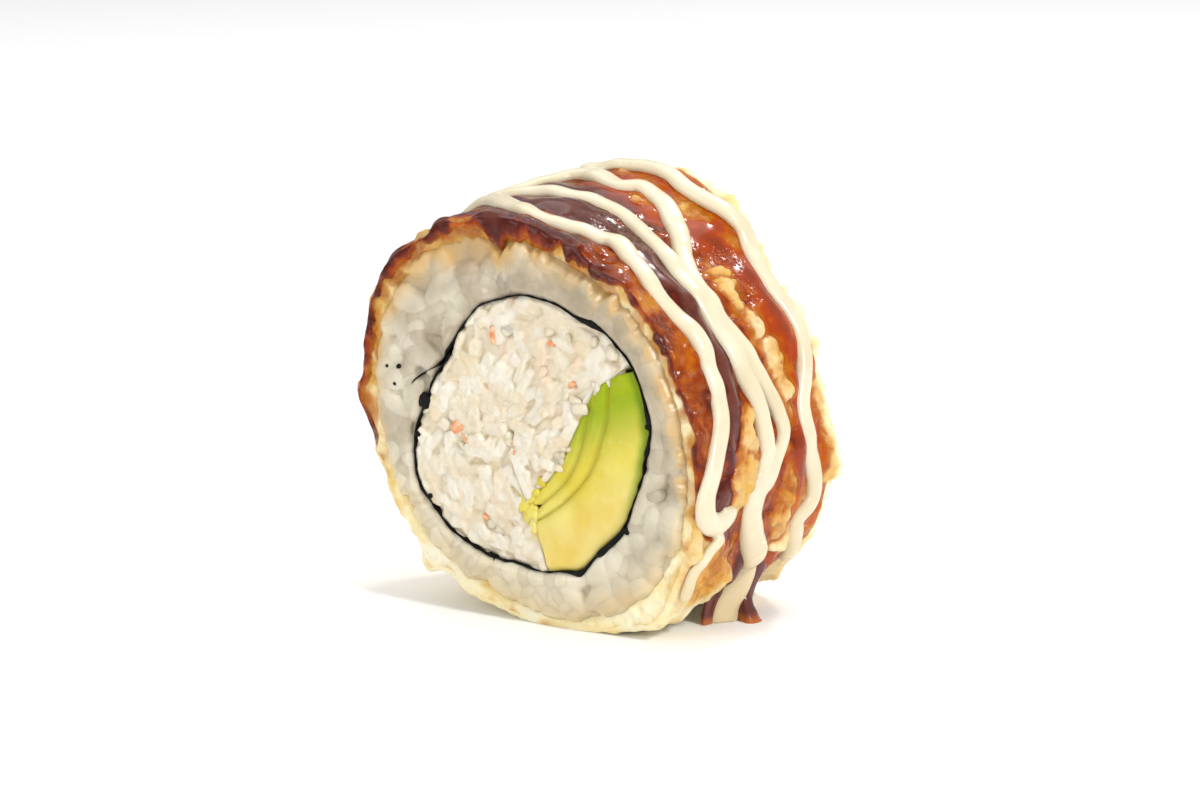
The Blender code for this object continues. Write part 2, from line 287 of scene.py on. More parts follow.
class Wire:
    # A socket that takes arithmetic
    def __init__(self, finish, socket):
        self.finish = finish
        self.socket = socket

    def math(self, operation, a, b, clamp=False):
        return self.finish.add("ShaderNodeMath", {"operation": operation, "use_clamp": clamp}, {0: a, 1: b})

    def __add__(self, other): return self.math("ADD", self, other)
    def __radd__(self, other): return self.math("ADD", other, self)
    def __sub__(self, other): return self.math("SUBTRACT", self, other)
    def __rsub__(self, other): return self.math("SUBTRACT", other, self)
    def __mul__(self, other): return self.math("MULTIPLY", self, other)
    def __rmul__(self, other): return self.math("MULTIPLY", other, self)
    def __truediv__(self, other): return self.math("DIVIDE", self, other)
    def clamped(self): return self.math("ADD", self, 0.0, clamp=True)

    def between(self, low, high):
        # 0 below low, 1 above high, eased
        return self.finish.add("ShaderNodeMapRange", {"interpolation_type": "SMOOTHSTEP"},
                               {"Value": self, "From Min": low, "From Max": high})


class Finish:
    def __init__(self, name):
        self.material = bpy.data.materials.new(name)
        self.material.use_nodes = True
        self.tree = self.material.node_tree
        self.shader = self.tree.nodes["Principled BSDF"]

    def add(self, kind, settings=None, inputs=None, output=0):
        node = self.tree.nodes.new(kind)
        for key, value in (settings or {}).items():
            setattr(node, key, value)
        for key, value in (inputs or {}).items():
            self.feed(node.inputs[key], value)
        return Wire(self, node.outputs[output])

    def feed(self, socket, value):
        if isinstance(value, Wire):
            self.tree.links.new(value.socket, socket)
        else:
            socket.default_value = value

    def attribute(self, name):
        return self.add("ShaderNodeAttribute", {"attribute_name": name}, output="Fac")

    def place(self):
        return self.add("ShaderNodeTexCoord", output="Object")

    def axis(self, name):
        # Distance along one axis, in millimetres
        return self.add("ShaderNodeSeparateXYZ", {}, {"Vector": self.place()}, output=name) * 1000

    def noise(self, scale, detail, roughness, shift=None):
        at = self.place()
        if shift:
            at = self.add("ShaderNodeVectorMath", {"operation": "ADD"}, {0: at, 1: shift})
        return self.add("ShaderNodeTexNoise", {},
                        {"Vector": at, "Scale": scale, "Detail": detail, "Roughness": roughness})

    def cells(self, scale):
        return self.add("ShaderNodeTexVoronoi", {}, {"Vector": self.place(), "Scale": scale})

    def ramp(self, value, *stops, light=studioLight):
        # Each stop is its place, then its colour
        ramped = self.add("ShaderNodeValToRGB", {}, {"Fac": value})
        elements = ramped.socket.node.color_ramp.elements
        while len(elements) < len(stops):
            elements.new(0.5)
        for element, (place, *rgb) in zip(elements, stops):
            element.position = place
            element.color = paint(*rgb, light)
        return ramped

    def mix(self, amount, a, b):
        a, b = (side if isinstance(side, Wire) else paint(*side, studioLight) for side in (a, b))
        return self.add("ShaderNodeMix", {"data_type": "RGBA"}, {"Factor": amount, "A": a, "B": b}, output="Result")

    def bump(self, height, distance, strength):
        return self.add("ShaderNodeBump", {}, {"Height": height, "Distance": distance, "Strength": strength})

    def finish(self, **sockets):
        for key, value in sockets.items():
            self.feed(self.shader.inputs[key.replace("_", " ")], value)
        return self.material


def glowing(weight, scale, radius):
    # How far light goes into the food, and what is left of its red, green and blue
    return {"Subsurface_Weight": weight, "Subsurface_Scale": scale, "Subsurface_Radius": radius}


# Crust: batter with crags, bare where it stands out of the sauce

crustLook = {
    "columns": 590, "rows": 116, "faceRows": 20, "wallRows": 4, "rounding": 0.55,
    "cragHeight": 0.3, "cellScale": 0.42,
    # golden lumps that the sauce leaves bare: angle, y, height, half-widths
    "bareLumps": [
        (50, 2.9, 0.85, 5, 1.5), (39.5, 2.6, 0.85, 5.5, 1.4), (29, 3.2, 0.9, 5.5, 1.5),
        (18.5, 4.4, 0.85, 5.5, 1.7), (8.5, 4.3, 0.85, 5.5, 1.7), (0, 4.8, 0.5, 4, 1.2),
        (2, -3.9, 0.9, 6, 1.9), (-10, -5.0, 1.1, 6.5, 2.2), (-18, -5.9, 0.75, 3.5, 1.5),
        (-18, 3.7, 0.75, 5, 1.4), (-27, 3.2, 0.9, 5, 1.6), (-36, 5.4, 0.85, 5.5, 1.7),
        (-33, -9.4, 0.8, 7, 2.6), (-41, -5.2, 0.9, 6, 2.0), (85, 4.6, 0.5, 3, 0.9),
        (98, 8.9, 0.4, 4, 1.0), (72, 7.4, 0.45, 5, 1.3), (57, 8.2, 0.45, 4, 1.1),
        (70, 12.9, 0.8, 7, 1.3), (52, 12.9, 0.6, 6, 1.2), (34, 12.6, 0.8, 6, 1.4),
        (20, 12.6, 0.9, 6, 1.4), (1, 11.9, 0.9, 7, 1.5), (-13, 11.9, 1.0, 7, 1.5),
        (-50, 11.2, 0.9, 6, 1.8), (128, -12.6, 0.8, 4, 1.2), (152, -12.4, 0.5, 4, 1.5),
        (178, -12.4, 0.6, 5, 1.6), (-22, 7.0, 0.4, 4, 1.3), (118, -6, 0.4, 5, 1.6),
        (143, -9, 0.5, 6, 2.0), (160, -6, 0.5, 7, 2.4), (132, 3, 0.5, 6, 2.0),
    ],
    # how brown the cut edge is fried, by angle
    "toast": [(-150, 0.12), (-120, 0.2), (-90, 0.15), (-60, 0.22), (-40, 0.35), (-25, 0.5), (-5, 0.55), (30, 0.6),
              (60, 0.62), (80, 0.7), (100, 0.85), (113, 1.0), (130, 0.95), (143, 0.85), (158, 0.7), (175, 0.7),
              (190, 0.6), (203, 0.4)],
    "brownSpots": [(-36, -8, 0.5, 8, 3), (-52, 3, 0.3, 12, 8)],
    # the browned side runs between these degrees, and is pale near the back on the right
    "browned": ((-58, -20), (195, 228)), "paleBack": ((10.6, 12.2), (75, 110)),
}


def nodulesAt(angle, y, lumps):
    # Flat-topped lumps with steep, uneven sides
    spots = onCylinder(angle, y)
    bend, sway = (0.9 * noiseAt(spots, 0.4, offset) + 0.2 * noiseAt(spots, 1.0, offset)
                  for offset in ((6, 2, 5), (1, 8, 2)))
    total = 0 * angle + 0 * y
    for at, along, height, wide, deep in lumps:
        across = turnBetween(angle, math.radians(at)) / math.radians(wide) + bend
        away = (y - along) / deep + sway
        total = np.maximum(total, height * np.exp(-(across ** 2 + away ** 2) ** 1.7))
    return total


def crags(angle, y):
    spots = onCylinder(angle, y)
    rough = cellsAt(spots + 0.8 * noiseAt(spots, 0.7)[..., None], crustLook["cellScale"])
    small = cellsAt(spots, 0.85, (5, 3, 2))
    fine = noiseAt(spots, 1.6, (3, 7, 1))
    calm = (1 - ramp(y, -11.0, -8.5)) * ramp(np.cos(angle - math.radians(40)), 0.5, 0.8)
    height = crustLook["cragHeight"] * (1.25 * rough + 0.3 * small - 0.55 + 0.3 * fine) * (1 - 0.5 * calm)
    return height + nodulesAt(angle, y, crustLook["bareLumps"]) * (0.85 + 0.22 * small + 0.12 * fine)


# How far the sauce covers the crust, which the crust's own colours follow

sauceLook = {
    "columns": 600, "rows": 112, "level": 0.17,
    # where the sauce ends low on the right: y, then degrees
    "lower": ([-13, -11, -8.5, -7, -5, -1, 3, 7, 10.5, 13], [-22, -25, -27, -33, -42, -54, -60, -50, -38, -28]),
    # where it ends on the left, at the front and further back, and where it ends before the back cut
    "left": (192, 166), "back": ((11.2, 12.4), (92, 104)),
    # section of the lip: part of the way out, and how far it stands off the cut
    "lipSection": [(0.0, -0.35), (0.1, 0.12), (0.3, 0.36), (0.55, 0.44), (0.8, 0.4), (0.93, 0.3)],
    "pools": [  # angle, y, added depth, half-widths
        (97, -4.5, 0.45, 16, 3.0), (72, -4.0, 0.4, 14, 2.0), (52, -6.0, 0.45, 12, 1.6),
        (30, -5.9, 0.5, 14, 1.5), (10, -5.9, 0.5, 10, 1.5), (-3, -7.3, 0.4, 7, 1.0), (-15, -8.6, 0.5, 5, 1.3),
        (92, 2.6, 0.35, 12, 2.0), (60, 6.2, 0.45, 10, 2.1), (45, 7.2, 0.45, 9, 1.8),
        (29, 7.2, 0.45, 9, 1.6), (12, 6.4, 0.3, 7, 0.9), (-3, 5.0, 0.45, 8, 1.2), (-14, 5.8, 0.45, 6, 1.2),
        (-42, -2.0, 0.6, 6, 1.4), (-44, 5.4, 0.4, 7, 1.3), (140, -9, 0.2, 14, 4.0),
        (125, 2.0, 0.4, 16, 9.0), (150, 6.0, 0.2, 14, 8.0), (-51, 4.8, 0.5, 6, 1.3), (102, -12.2, 0.5, 8, 1.2),
        (84, -12.4, 0.35, 8, 1.0), (121, -12.4, 0.4, 4, 1.0), (138, -12.2, 0.5, 5, 1.2), (163, -12, 0.5, 7, 1.6),
        (180, -12, 0.4, 6, 1.6),
    ],
    "thin": [  # angle, y, depth taken off, half-widths
        (30, -12.0, 0.02, 26, 1.6), (-5, -12.0, 0.02, 14, 1.6), (148, -12.0, 0.3, 5, 1.4), (114, -12.6, 0.35, 4, 1.2),
        (131, -12.6, 0.3, 4, 1.2), (80, 11.6, 0.12, 16, 1.5),
    ],
    # patches of small ripples that sparkle: angle, y, amount, half-widths
    "rippled": [(74, -3.6, 1.0, 7, 1.6), (42, -10.8, 1.0, 9, 1.3), (53, 5.4, 0.8, 4, 1.6), (40, 4.6, 0.7, 5, 1.2),
                (12, -11.2, 0.7, 8, 1.2), (66, 10.0, 0.6, 8, 1.2), (88, -11.0, 0.6, 10, 1.0), (5, 8.2, 0.5, 6, 1.0)],
    # how far the sauce laps over the front edge, by angle
    "lip": [(-60, 0.1), (-25, 0.15), (-10, 0.5), (20, 0.7), (45, 0.7), (60, 0.9), (75, 1.3), (88, 1.7), (100, 2.2),
            (107, 1.9), (113, 0.6), (121, 1.0), (130, 0.5), (139, 0.9), (150, 0.5), (165, 0.7), (176, 0.6), (190, 0.2)],
}


def sauceCover(angle, y):
    degrees = degreesAround(angle, 45)
    low = np.interp(y, *sauceLook["lower"])
    wander = 6 * noiseAt(onCylinder(angle, y), 0.25, (4, 4, 4))
    cover = ramp(degrees + wander, low - 3, low + 3)
    left = np.interp(ramp(y, -12, -6), (0, 1), sauceLook["left"])
    cover = cover * ramp(-degrees + wander, -left - 10, -left + 6)
    # It stops short of the back cut on the right
    return cover * (1 - ramp(y, *sauceLook["back"][0]) * (1 - ramp(degrees, *sauceLook["back"][1])))


def sauceDepthOver(angle, y):
    spots = onCylinder(angle, y)
    level = sauceLook["level"] + lumpsAt(angle, y, sauceLook["pools"]) - lumpsAt(angle, y, sauceLook["thin"])
    level = level + 0.06 * noiseAt(spots, 0.5, (1, 6, 3))
    cover = sauceCover(angle, y)
    return level * cover - 1.2 * (1 - cover)


def crustPiece():
    look = crustLook
    turn = fullTurn(look["columns"])
    degrees = degreesAround(turn, 60)
    toast = alongTurn(turn, look["toast"])
    rise, fall = look["browned"]
    browned = 0.66 * ramp(degrees, *rise) * (1 - ramp(degrees, *fall))
    skin = Skin("bare", "brown")
    for y in np.linspace(-half, half, look["rows"]):
        near = np.clip((abs(y) - half + look["rounding"]) / look["rounding"], 0, 1)
        edge = look["rounding"] * (1 - np.sqrt(1 - near ** 2))
        crag = crags(turn, y)
        paleBack = 0.85 * ramp(y, *look["paleBack"][0]) * (1 - ramp(degrees, *look["paleBack"][1]))
        brown = browned * (1 - paleBack) + lumpsAt(turn, y, look["brownSpots"])
        skin.add(polar(turn, crustBase(turn, y) + crag - edge, y), crag - sauceDepthOver(turn, y), brown)
    inner = batterInside(turn) - 1.0
    parts = np.linspace(0, 1, look["faceRows"] + 2)[1:]
    for side in (1, -1):
        outer = crustBase(turn, side * half) + crags(turn, side * half) - look["rounding"]
        for part in parts[::side]:
            radius = outer + (inner - outer) * part
            spots = polar(turn, radius, side * half)
            crumb = 0.3 * cellsAt(spots + 0.4 * noiseAt(spots, 1.5)[..., None], 0.75) - 0.12
            crumb = (crumb + 0.2 * noiseAt(spots, 0.8) + 0.1 * noiseAt(spots, 2.8)) * (0.4 + 0.8 * toast)
            sunk = 0.8 * ramp(batterInside(turn) + 0.5 - radius, 0, 1.5)
            spots[..., 1] += side * (crumb * ramp(part, 0, 0.12) - sunk)
            skin.add(spots, 0.5 - 0.6 * toast * ramp(noiseAt(spots, 0.45, (7, 5, 5)), -0.35, 0.15),
                     1.25 * toast - 0.6 * part + 0.5 * noiseAt(spots, 0.6, (2, 5, 5)))
        if side > 0:
            for y in np.linspace(half, -half, look["wallRows"])[1:-1]:
                skin.add(polar(turn, inner, y), 1, 0)
    return skin.mesh()


def crustFinish():
    f = Finish("friedBatter")
    bare = f.attribute("bare")
    brown = f.attribute("brown")
    blotch = f.noise(260, 4, 0.6)
    patch = f.noise(120, 2, 0.5, shift=(0.4, 0.1, 0.3))
    grain = f.noise(1300, 3, 0.6)
    pits = f.cells(900)
    # Pale batter, its own colour, painted a little lighter than the rest (light 0.85) to make up for the shade low on
    # the roll
    pale = f.ramp(blotch, (0.33, 246, 214, 140), (0.5, 255, 241, 192), (0.68, 255, 249, 222), light=0.85)
    golden = f.ramp(blotch, (0.3, 170, 90, 16), (0.43, 214, 146, 52), (0.55, 236, 192, 100), (0.7, 249, 224, 158))
    color = f.mix((brown + (patch - 0.5) * 1.3).between(0.1, 0.75), pale, golden)
    toasted = (brown + (blotch - 0.5) * 1.1).between(0.6, 1.1)
    color = f.mix(toasted * 0.8, color, (168, 86, 22))
    wet = 1 - bare.between(0.0, 0.3)
    color = f.mix(grain.between(0.55, 0.8) * (0.25 - wet * 0.2), color, (168, 100, 30))
    color = f.mix(wet * 0.85, color, (186, 96, 10))
    bumps = (grain * 0.35 + blotch * 0.6 - pits.between(0.0, 0.6) * 0.4) * (0.3 + 0.7 * brown.clamped())
    return f.finish(Base_Color=color, Roughness=0.4 - 0.15 * wet, Normal=f.bump(bumps, 0.0006, 0.8),
                    Specular_IOR_Level=0.25, **glowing(0.2, 0.001, (1.0, 0.6, 0.3)))


addPiece("friedCrust", crustPiece(), crustFinish(), "batter", "tempura_batter")


# Sauce: a glossy film that pools between the crags and laps over the front edge

def saucePiece():
    look = sauceLook
    turn = fullTurn(look["columns"])
    around = onCylinder(turn, 0)
    drip = noiseAt(around, 0.55, (2, 2, 9)) + 0.5 * noiseAt(around, 1.3, (7, 2, 9))
    lip = np.maximum(alongTurn(turn, look["lip"]) * (1 + 0.9 * drip), 0.08)
    cover = sauceCover(turn, -half)
    edge = crustBase(turn, -half) - 0.3
    over = np.clip(sauceDepthOver(turn, -half), -0.4, 0.5)
    skin = Skin("depth", "ripple")
    for part, out in look["lipSection"]:
        radius = edge - lip * (1 - part) * cover - 0.3 * (1 - cover) + (over + 0.15) * part * 0.7
        bumpy = 0.12 * noiseAt(polar(turn, radius, -half), 1.1, (3, 3, 3)) * min(part * 4, 1)
        spots = polar(turn, radius, -half - (out + bumpy) * cover * np.clip(lip, 0.3, 1) - 0.02)
        depth = (0.34 + 0.2 * np.clip(lip - 0.6, 0, 1)) * part ** 0.6 * cover - 0.6 * (1 - cover) + 0.16 * drip
        skin.add(spots, depth, lumpsAt(turn, -half, look["rippled"]))
    for y in np.linspace(-half, half - 0.1, look["rows"]):
        crag, level = crags(turn, y), sauceDepthOver(turn, y)
        ease = 0.35 * (1 - ramp(y, -half, -half + 0.6))
        fine = 0.85 * fineCrag(turn, y) * ramp(level - crag, 0.15, 0.5)
        top = crustBase(turn, y) - fine + np.maximum(level, crag - 0.25) - ease
        skin.add(polar(turn, top, y), level - crag, lumpsAt(turn, y, look["rippled"]))
    for y in np.linspace(half - 0.1, -half + 0.2, 6):
        skin.add(polar(turn, batterInside(turn) + 0.3, y), -0.5, 0)
    return skin.mesh()


def sauceFinish():
    f = Finish("darkSauce")
    depth = f.attribute("depth")
    uneven = f.noise(300, 3, 0.55)
    beads = f.noise(1100, 2, 0.5)
    bubbles = f.cells(620)
    blobs = f.noise(190, 2, 0.5, shift=(0.2, 0.7, 0.1))
    front = 1 - f.axis("Y").between(-11.5, -8.0)
    body = (depth + (uneven - 0.5) * 0.35 + (blobs - 0.5) * (0.25 + front * 0.75) + front * 0.03) / 0.9
    red = f.ramp(body.clamped(), (0.0, 236, 152, 30), (0.15, 214, 110, 4), (0.4, 176, 64, 4), (0.8, 142, 56, 26))
    # The deepest stop turns lighter and greyer again: a painted milky reflection of the lights on the pools
    dark = f.ramp(body.clamped(), (0.0, 232, 152, 30), (0.1, 208, 108, 4), (0.24, 164, 62, 0), (0.38, 108, 28, 2),
                  (0.52, 78, 20, 8), (0.78, 108, 54, 42))
    rear = (f.axis("Y") + (blobs - 0.5) * 8).between(1.5, 5.0) * f.axis("X").between(-10, 0)
    shallow = 1 - depth.between(0.2, 0.45)
    sparkle = f.attribute("ripple") * f.cells(2200).between(0.0, 0.6)
    ripples = (uneven * 0.55 + beads * 0.2 - bubbles.between(0.0, 0.5) * 0.3) * (0.03 + shallow) - sparkle * 0.8
    return f.finish(Base_Color=f.mix(rear, dark, red), Roughness=0.05 + 0.06 * beads + 0.1 * (1 - shallow),
                    Alpha=depth.between(-0.08, 0.2) * 0.7 + depth.between(0.12, 0.42) * 0.29,
                    Normal=f.bump(ripples, 0.0009, 0.7), Specular_IOR_Level=0.26)


addPiece("sauceCoat", saucePiece(), sauceFinish(), "batter")


# Runs that lie on the crust and runs that leave it for the floor

def smoothRoute(points, step):
    # A curve through the points, cut into even steps
    points = np.array(points)
    padded = [2 * points[0] - points[1], *points, 2 * points[-1] - points[-2]]
    fine = []
    for a, b, c, d in zip(padded, padded[1:], padded[2:], padded[3:]):
        for t in np.arange(10) / 10:
            fine.append(0.5 * (2 * b + (c - a) * t + (2 * a - 5 * b + 4 * c - d) * t ** 2
                               + (3 * b - a - 3 * c + d) * t ** 3))
    fine.append(points[-1])
    fine = np.array(fine)
    lengths = np.concatenate([[0], np.cumsum(np.linalg.norm(np.diff(fine, axis=0), axis=1))])
    even = np.linspace(0, lengths[-1], max(4, round(lengths[-1] / step)))
    return np.stack([np.interp(even, lengths, fine[:, i]) for i in range(3)], 1)


beadSides = 20


def bead(bm, route, ups, widths, heights, sunk=0.8):
    # A flattened bead swept along the route, its ends rounded off
    ups = np.array(ups) / np.linalg.norm(ups, axis=-1, keepdims=True)
    ahead = np.gradient(route, axis=0)
    ahead /= np.linalg.norm(ahead, axis=1)[:, None]
    side = np.cross(ahead, ups)
    side /= np.linalg.norm(side, axis=1)[:, None]
    run = np.concatenate([[0], np.cumsum(np.linalg.norm(np.diff(route, axis=0), axis=1))])
    gap = np.minimum(run, run[-1] - run)
    ease = np.sqrt(np.clip(1 - (1 - np.clip(gap / (widths / 2), 0, 1)) ** 2, 0.0004, 1))
    spots = []
    for k in range(beadSides + 1):
        turn = 2 * np.pi * (k % beadSides) / beadSides
        across = np.sign(np.cos(turn)) * abs(np.cos(turn)) ** 0.85 * widths / 2 * ease
        rise = np.sin(turn) * (heights if np.sin(turn) > 0 else sunk) * ease
        spots.append(route + side * across[:, None] + ups * rise[:, None])
    piece = bentGrid(np.array(spots).transpose(1, 0, 2), {})
    fillOpen(piece)
    joinInto(bm, piece)


def routeOnTop(stops, step, lift=0.0):
    angle, y = np.array(stops).T
    route = smoothRoute(onCylinder(np.radians(angle), y), step)
    angle = np.arctan2(route[:, 2], route[:, 0])
    y = route[:, 1]
    top = crustBase(angle, y) + np.maximum(sauceDepthOver(angle, y), 0.6 * crags(angle, y))
    kernel = np.hanning(11) / np.hanning(11).sum()
    top = np.convolve(np.pad(top, 5, mode="edge"), kernel, "valid")
    return polar(angle, top + lift, y), polar(angle, 1, 0)


def spread(values, part):
    return np.interp(part, np.linspace(0, 1, len(values)), values)


# Mayonnaise: four beads that cross the roll, a thin strand and the run to the floor

mayoLook = {
    # name: width at the top, width below, height, route of angle and y
    "beads": {
        "front": (2.25, 2.35, 0.8, [
            (150, -4.5), (134, -4.6), (122, -5.0), (114, -5.8), (107, -7.6), (100.6, -8.9), (95.3, -9.5), (91, -9.4),
            (87, -9.2), (83.3, -8.7), (79.9, -8.1), (76.3, -7.4), (72, -6.9), (66, -7.3), (59.4, -8.1), (48.2, -8.9),
            (39.1, -8.6), (31.7, -8.1), (24, -7.9), (17, -8.0), (8, -8.2), (0.7, -8.9), (-5.2, -10.0), (-10.2, -11.1),
            (-14.5, -12.0), (-18.4, -11.8), (-21.2, -11.0), (-22.3, -9.7), (-21.7, -8.3), (-19.6, -7.4),
            (-17.8, -7.2)]),
        "second": (2.2, 2.35, 0.85, [
            (122, -4.0), (112, -2.6), (106.4, -1.3), (100.4, -1.0), (94.4, -0.5), (89.4, -0.1), (85.1, 0.2),
            (77.2, -0.3), (68.5, -1.6), (60.6, -2.4), (53.8, -2.8), (44.4, -3.4), (36.7, -3.3), (29.5, -3.2),
            (22.8, -3.0), (16.9, -2.5), (9.7, -1.7), (4.5, -1.0), (-0.4, -0.8), (-5.1, -0.8), (-9.6, -1.0),
            (-13.7, -1.5), (-17.4, -3.0), (-22.4, -3.4), (-28.2, -2.5), (-34.9, -0.5), (-39.5, 0.8)]),
        "third": (2.3, 1.7, 0.8, [
            (150, -1.0), (134, -1.5), (122, -1.5), (116, 0.6), (113.5, 4.0), (110.5, 6.6), (106, 7.2), (101.5, 6.6),
            (93.4, 5.7), (89.2, 6.8), (82.2, 6.6), (74.6, 5.2), (65.9, 2.7), (56.9, 0.0), (47.4, -1.6), (40.4, -1.8),
            (32.9, -1.6), (26.6, -1.1), (21.4, -0.5), (17.2, -0.1), (11.4, 0.9), (8.1, 1.4), (3.8, 1.9), (-1, 2.1),
            (-5.5, 1.8), (-10.3, 0.9), (-14.7, -0.1), (-17.4, -1.5), (-22.4, -1.9), (-28.2, -1.0), (-34.9, 1.0),
            (-39.5, 2.3)]),
        "rear": (2.2, 2.2, 0.8, [
            (112, 9.4), (101.5, 9.8), (92.1, 10.0), (85.2, 9.9), (78.1, 9.4), (70.4, 9.7), (64.1, 10.4), (59.2, 11.0),
            (53.5, 10.7), (46.5, 9.9), (37.8, 9.7), (30.3, 10.2), (23.4, 10.2), (15.7, 9.3), (9, 8.2), (3.1, 7.3),
            (-2.8, 6.9), (-8, 7.0), (-14.1, 8.0), (-19.1, 8.9), (-23.2, 9.0), (-26.8, 7.9), (-29.9, 7.2),
            (-34.7, 8.0), (-40, 8.8), (-42.8, 8.0)]),
        # where the second and third beads run together
        "upperJoin": (2.0, 2.0, 0.85, [(58, -1.6), (50, -2.4), (42, -2.6), (34, -2.5), (29, -2.2)]),
        "lowerJoin": (2.2, 2.7, 0.85, [(-11, -0.3), (-14.2, -0.8), (-17.4, -2.3), (-22.4, -2.7), (-28.2, -1.8),
                                       (-34.9, 0.2), (-40.5, 1.4)]),
    },
    "step": 0.35, "runStep": 0.3, "voxel": 0.18, "smoothing": 6,
    "strand": [(-24.8, -8.6), (-27.0, -9.9), (-30.2, -11.0), (-35.7, -11.7), (-42.2, -11.6)],
    "run": [(17.9, 0.4, -11.9), (17.7, 0.9, -13.8), (17.5, 1.3, -15.8), (16.9, 1.0, -17.8), (16.2, -0.2, -19.8),
            (16.2, -1.3, -23.0)],
    "runWidths": (3.6, 3.3, 2.9, 3.6, 4.6), "runUp": (0.8, -0.35, 0.45),
}


def mayoPiece():
    look = mayoLook
    bm = bmesh.new()
    for number, (wideAbove, wideBelow, high, stops) in enumerate(look["beads"].values()):
        route, ups = routeOnTop(stops, look["step"])
        run = np.arange(len(route)) * look["step"]
        below = 1 - ramp(np.degrees(np.arctan2(route[:, 2], route[:, 0])), 0, 70)
        swell = 1 + 0.05 * np.sin(run * 0.45 + number * 2) + 0.04 * np.sin(run * 0.21 + number)
        widths = (wideAbove + (wideBelow - wideAbove) * below) * swell * 1.14
        if number == 0:
            # The front bead ends in a drop
            widths = widths * (1 + 0.45 * np.exp(-((run[-1] - run) / 1.6) ** 2))
        bead(bm, route, ups, widths, high * (1 + 0.08 * np.sin(run * 0.3 + number)))
    route, ups = routeOnTop(look["strand"], look["runStep"], 0.35)
    bead(bm, route, ups, np.linspace(1.3, 1.8, len(route)), 0.45, 0.6)
    route = smoothRoute(look["run"], look["runStep"])
    part = np.linspace(0, 1, len(route))
    bead(bm, route, look["runUp"], spread(look["runWidths"], part), 0.85 + 0.25 * part, 1.1)
    return bm


def mayoFinish():
    f = Finish("mayonnaise")
    cloud = f.noise(180, 2, 0.5)
    color = f.ramp(cloud, (0.35, 231, 217, 183), (0.65, 241, 230, 202))
    color = f.mix(1 - f.axis("Z").between(0.0, 14.0), color, (232, 210, 164))
    return f.finish(Base_Color=color, Roughness=0.22 + 0.1 * cloud, Normal=f.bump(cloud, 0.0004, 0.2),
                    **glowing(0.35, 0.0015, (1.0, 0.8, 0.5)))


remeshed(addPiece("mayoDrizzle", mayoPiece(), mayoFinish(), "batter"), mayoLook["voxel"], mayoLook["smoothing"])


sauceRunLook = {
    "path": [(17.6, 4.6, -13.6), (17.8, 3.7, -15.6), (17.6, 2.5, -17.6), (17.6, 1.7, -19.6), (18.4, 1.3, -20.8),
             (19.6, 1.0, -23.0)],
    "widths": (2.4, 2.3, 1.9, 1.7, 2.4, 3.0), "up": (0.75, 0.1, 0.65), "step": 0.3, "voxel": 0.16, "smoothing": 5,
    # dark edging on the near side of the mayonnaise
    "edging": [(17.0, -1.6, -13.6), (16.6, -1.6, -16.6), (15.8, -2.2, -19.4), (15.7, -2.7, -23.0)],
}


def sauceRunPiece():
    look = sauceRunLook
    bm = bmesh.new()
    route = smoothRoute(look["path"], look["step"])
    part = np.linspace(0, 1, len(route))
    bead(bm, route, look["up"], spread(look["widths"], part), 0.6 + 0.1 * part, 1.4)
    bead(bm, smoothRoute(look["edging"], look["step"]), look["up"], 2.2, 0.45, 1.0)
    return bm


def sauceRunFinish():
    f = Finish("darkSauceRun")
    uneven = f.noise(400, 2, 0.5)
    edge = (f.axis("Z") + (uneven - 0.5) * 0.8).between(0.0, 1.0)
    return f.finish(Base_Color=f.mix(edge, (200, 108, 44), (104, 52, 44)), Roughness=0.15 + 0.05 * uneven,
                    Specular_IOR_Level=0.45)


remeshed(addPiece("sauceRun", sauceRunPiece(), sauceRunFinish(), "batter"), sauceRunLook["voxel"],
         sauceRunLook["smoothing"])


# Rice: pressed grains, seen as soft lumps on both cuts

riceLook = {
    "columns": 620, "faceRows": 44, "wallRows": 4, "grains": 300, "looseGrains": 7, "underCrust": 0.8,
    "grainLength": 5.6, "grainWidth": 2.9, "seed": 41,
    # how far the rice reaches into the batter, by angle
    "reachOut": [(-140, 0.9), (-90, 1.0), (-50, 1.2), (-20, 1.4), (30, 1.1), (70, 0.6), (100, 0.6), (125, 1.2),
                 (150, 1.5), (180, 1.6), (200, 1.2)],
    # how wide the frying stain reaches in from the crust, and how much painted shade greys the grains, by angle: darker
    # on the top and the right
    "stainWidth": [(-150, 2.4), (-60, 4.2), (-20, 1.4), (20, 2.0), (60, 2.4), (90, 2.8), (120, 3.8), (145, 2.8),
                   (175, 2.2), (200, 1.6)],
    "greyShade": [(-160, 0.35), (-120, 0.15), (-90, 0.05), (-55, 0.15), (-30, 0.6), (0, 0.9), (25, 1.2), (50, 1.35),
             (80, 1.25), (110, 0.9), (140, 0.65), (170, 0.65)],
    # x, z and size of the hollow beside the lap of the seaweed
    "hole": (-13.4, 0.9, 0.75),
}


def riceGrains(rng, count):
    grains = []
    for _ in range(count):
        angle = rng.uniform(-np.pi, np.pi)
        low, high = riceInside(angle), batterInside(angle)
        radius = low + (high - low) * rng.uniform(0.02, 0.98)
        lie = angle + np.pi / 2 + rng.uniform(-1.2, 1.2)
        long = riceLook["grainLength"] * rng.uniform(0.45, 1) / 2
        wide = riceLook["grainWidth"] * rng.uniform(0.75, 1.15) / 2
        grains.append((radius * math.cos(angle), radius * math.sin(angle), lie, long, wide, rng.uniform(-0.3, 0.3),
                       rng.uniform(-1, 1)))
    return grains


def overGrain(x, z, gx, gz, lie, long, wide, size):
    # The spots near a grain or flake, and how far along and across it they are
    near = np.nonzero((abs(x - gx) < size) & (abs(z - gz) < size))
    dx, dz = x[near] - gx, z[near] - gz
    along = (dx * math.cos(lie) + dz * math.sin(lie)) / long
    return near, along, (-dx * math.sin(lie) + dz * math.cos(lie)) / wide


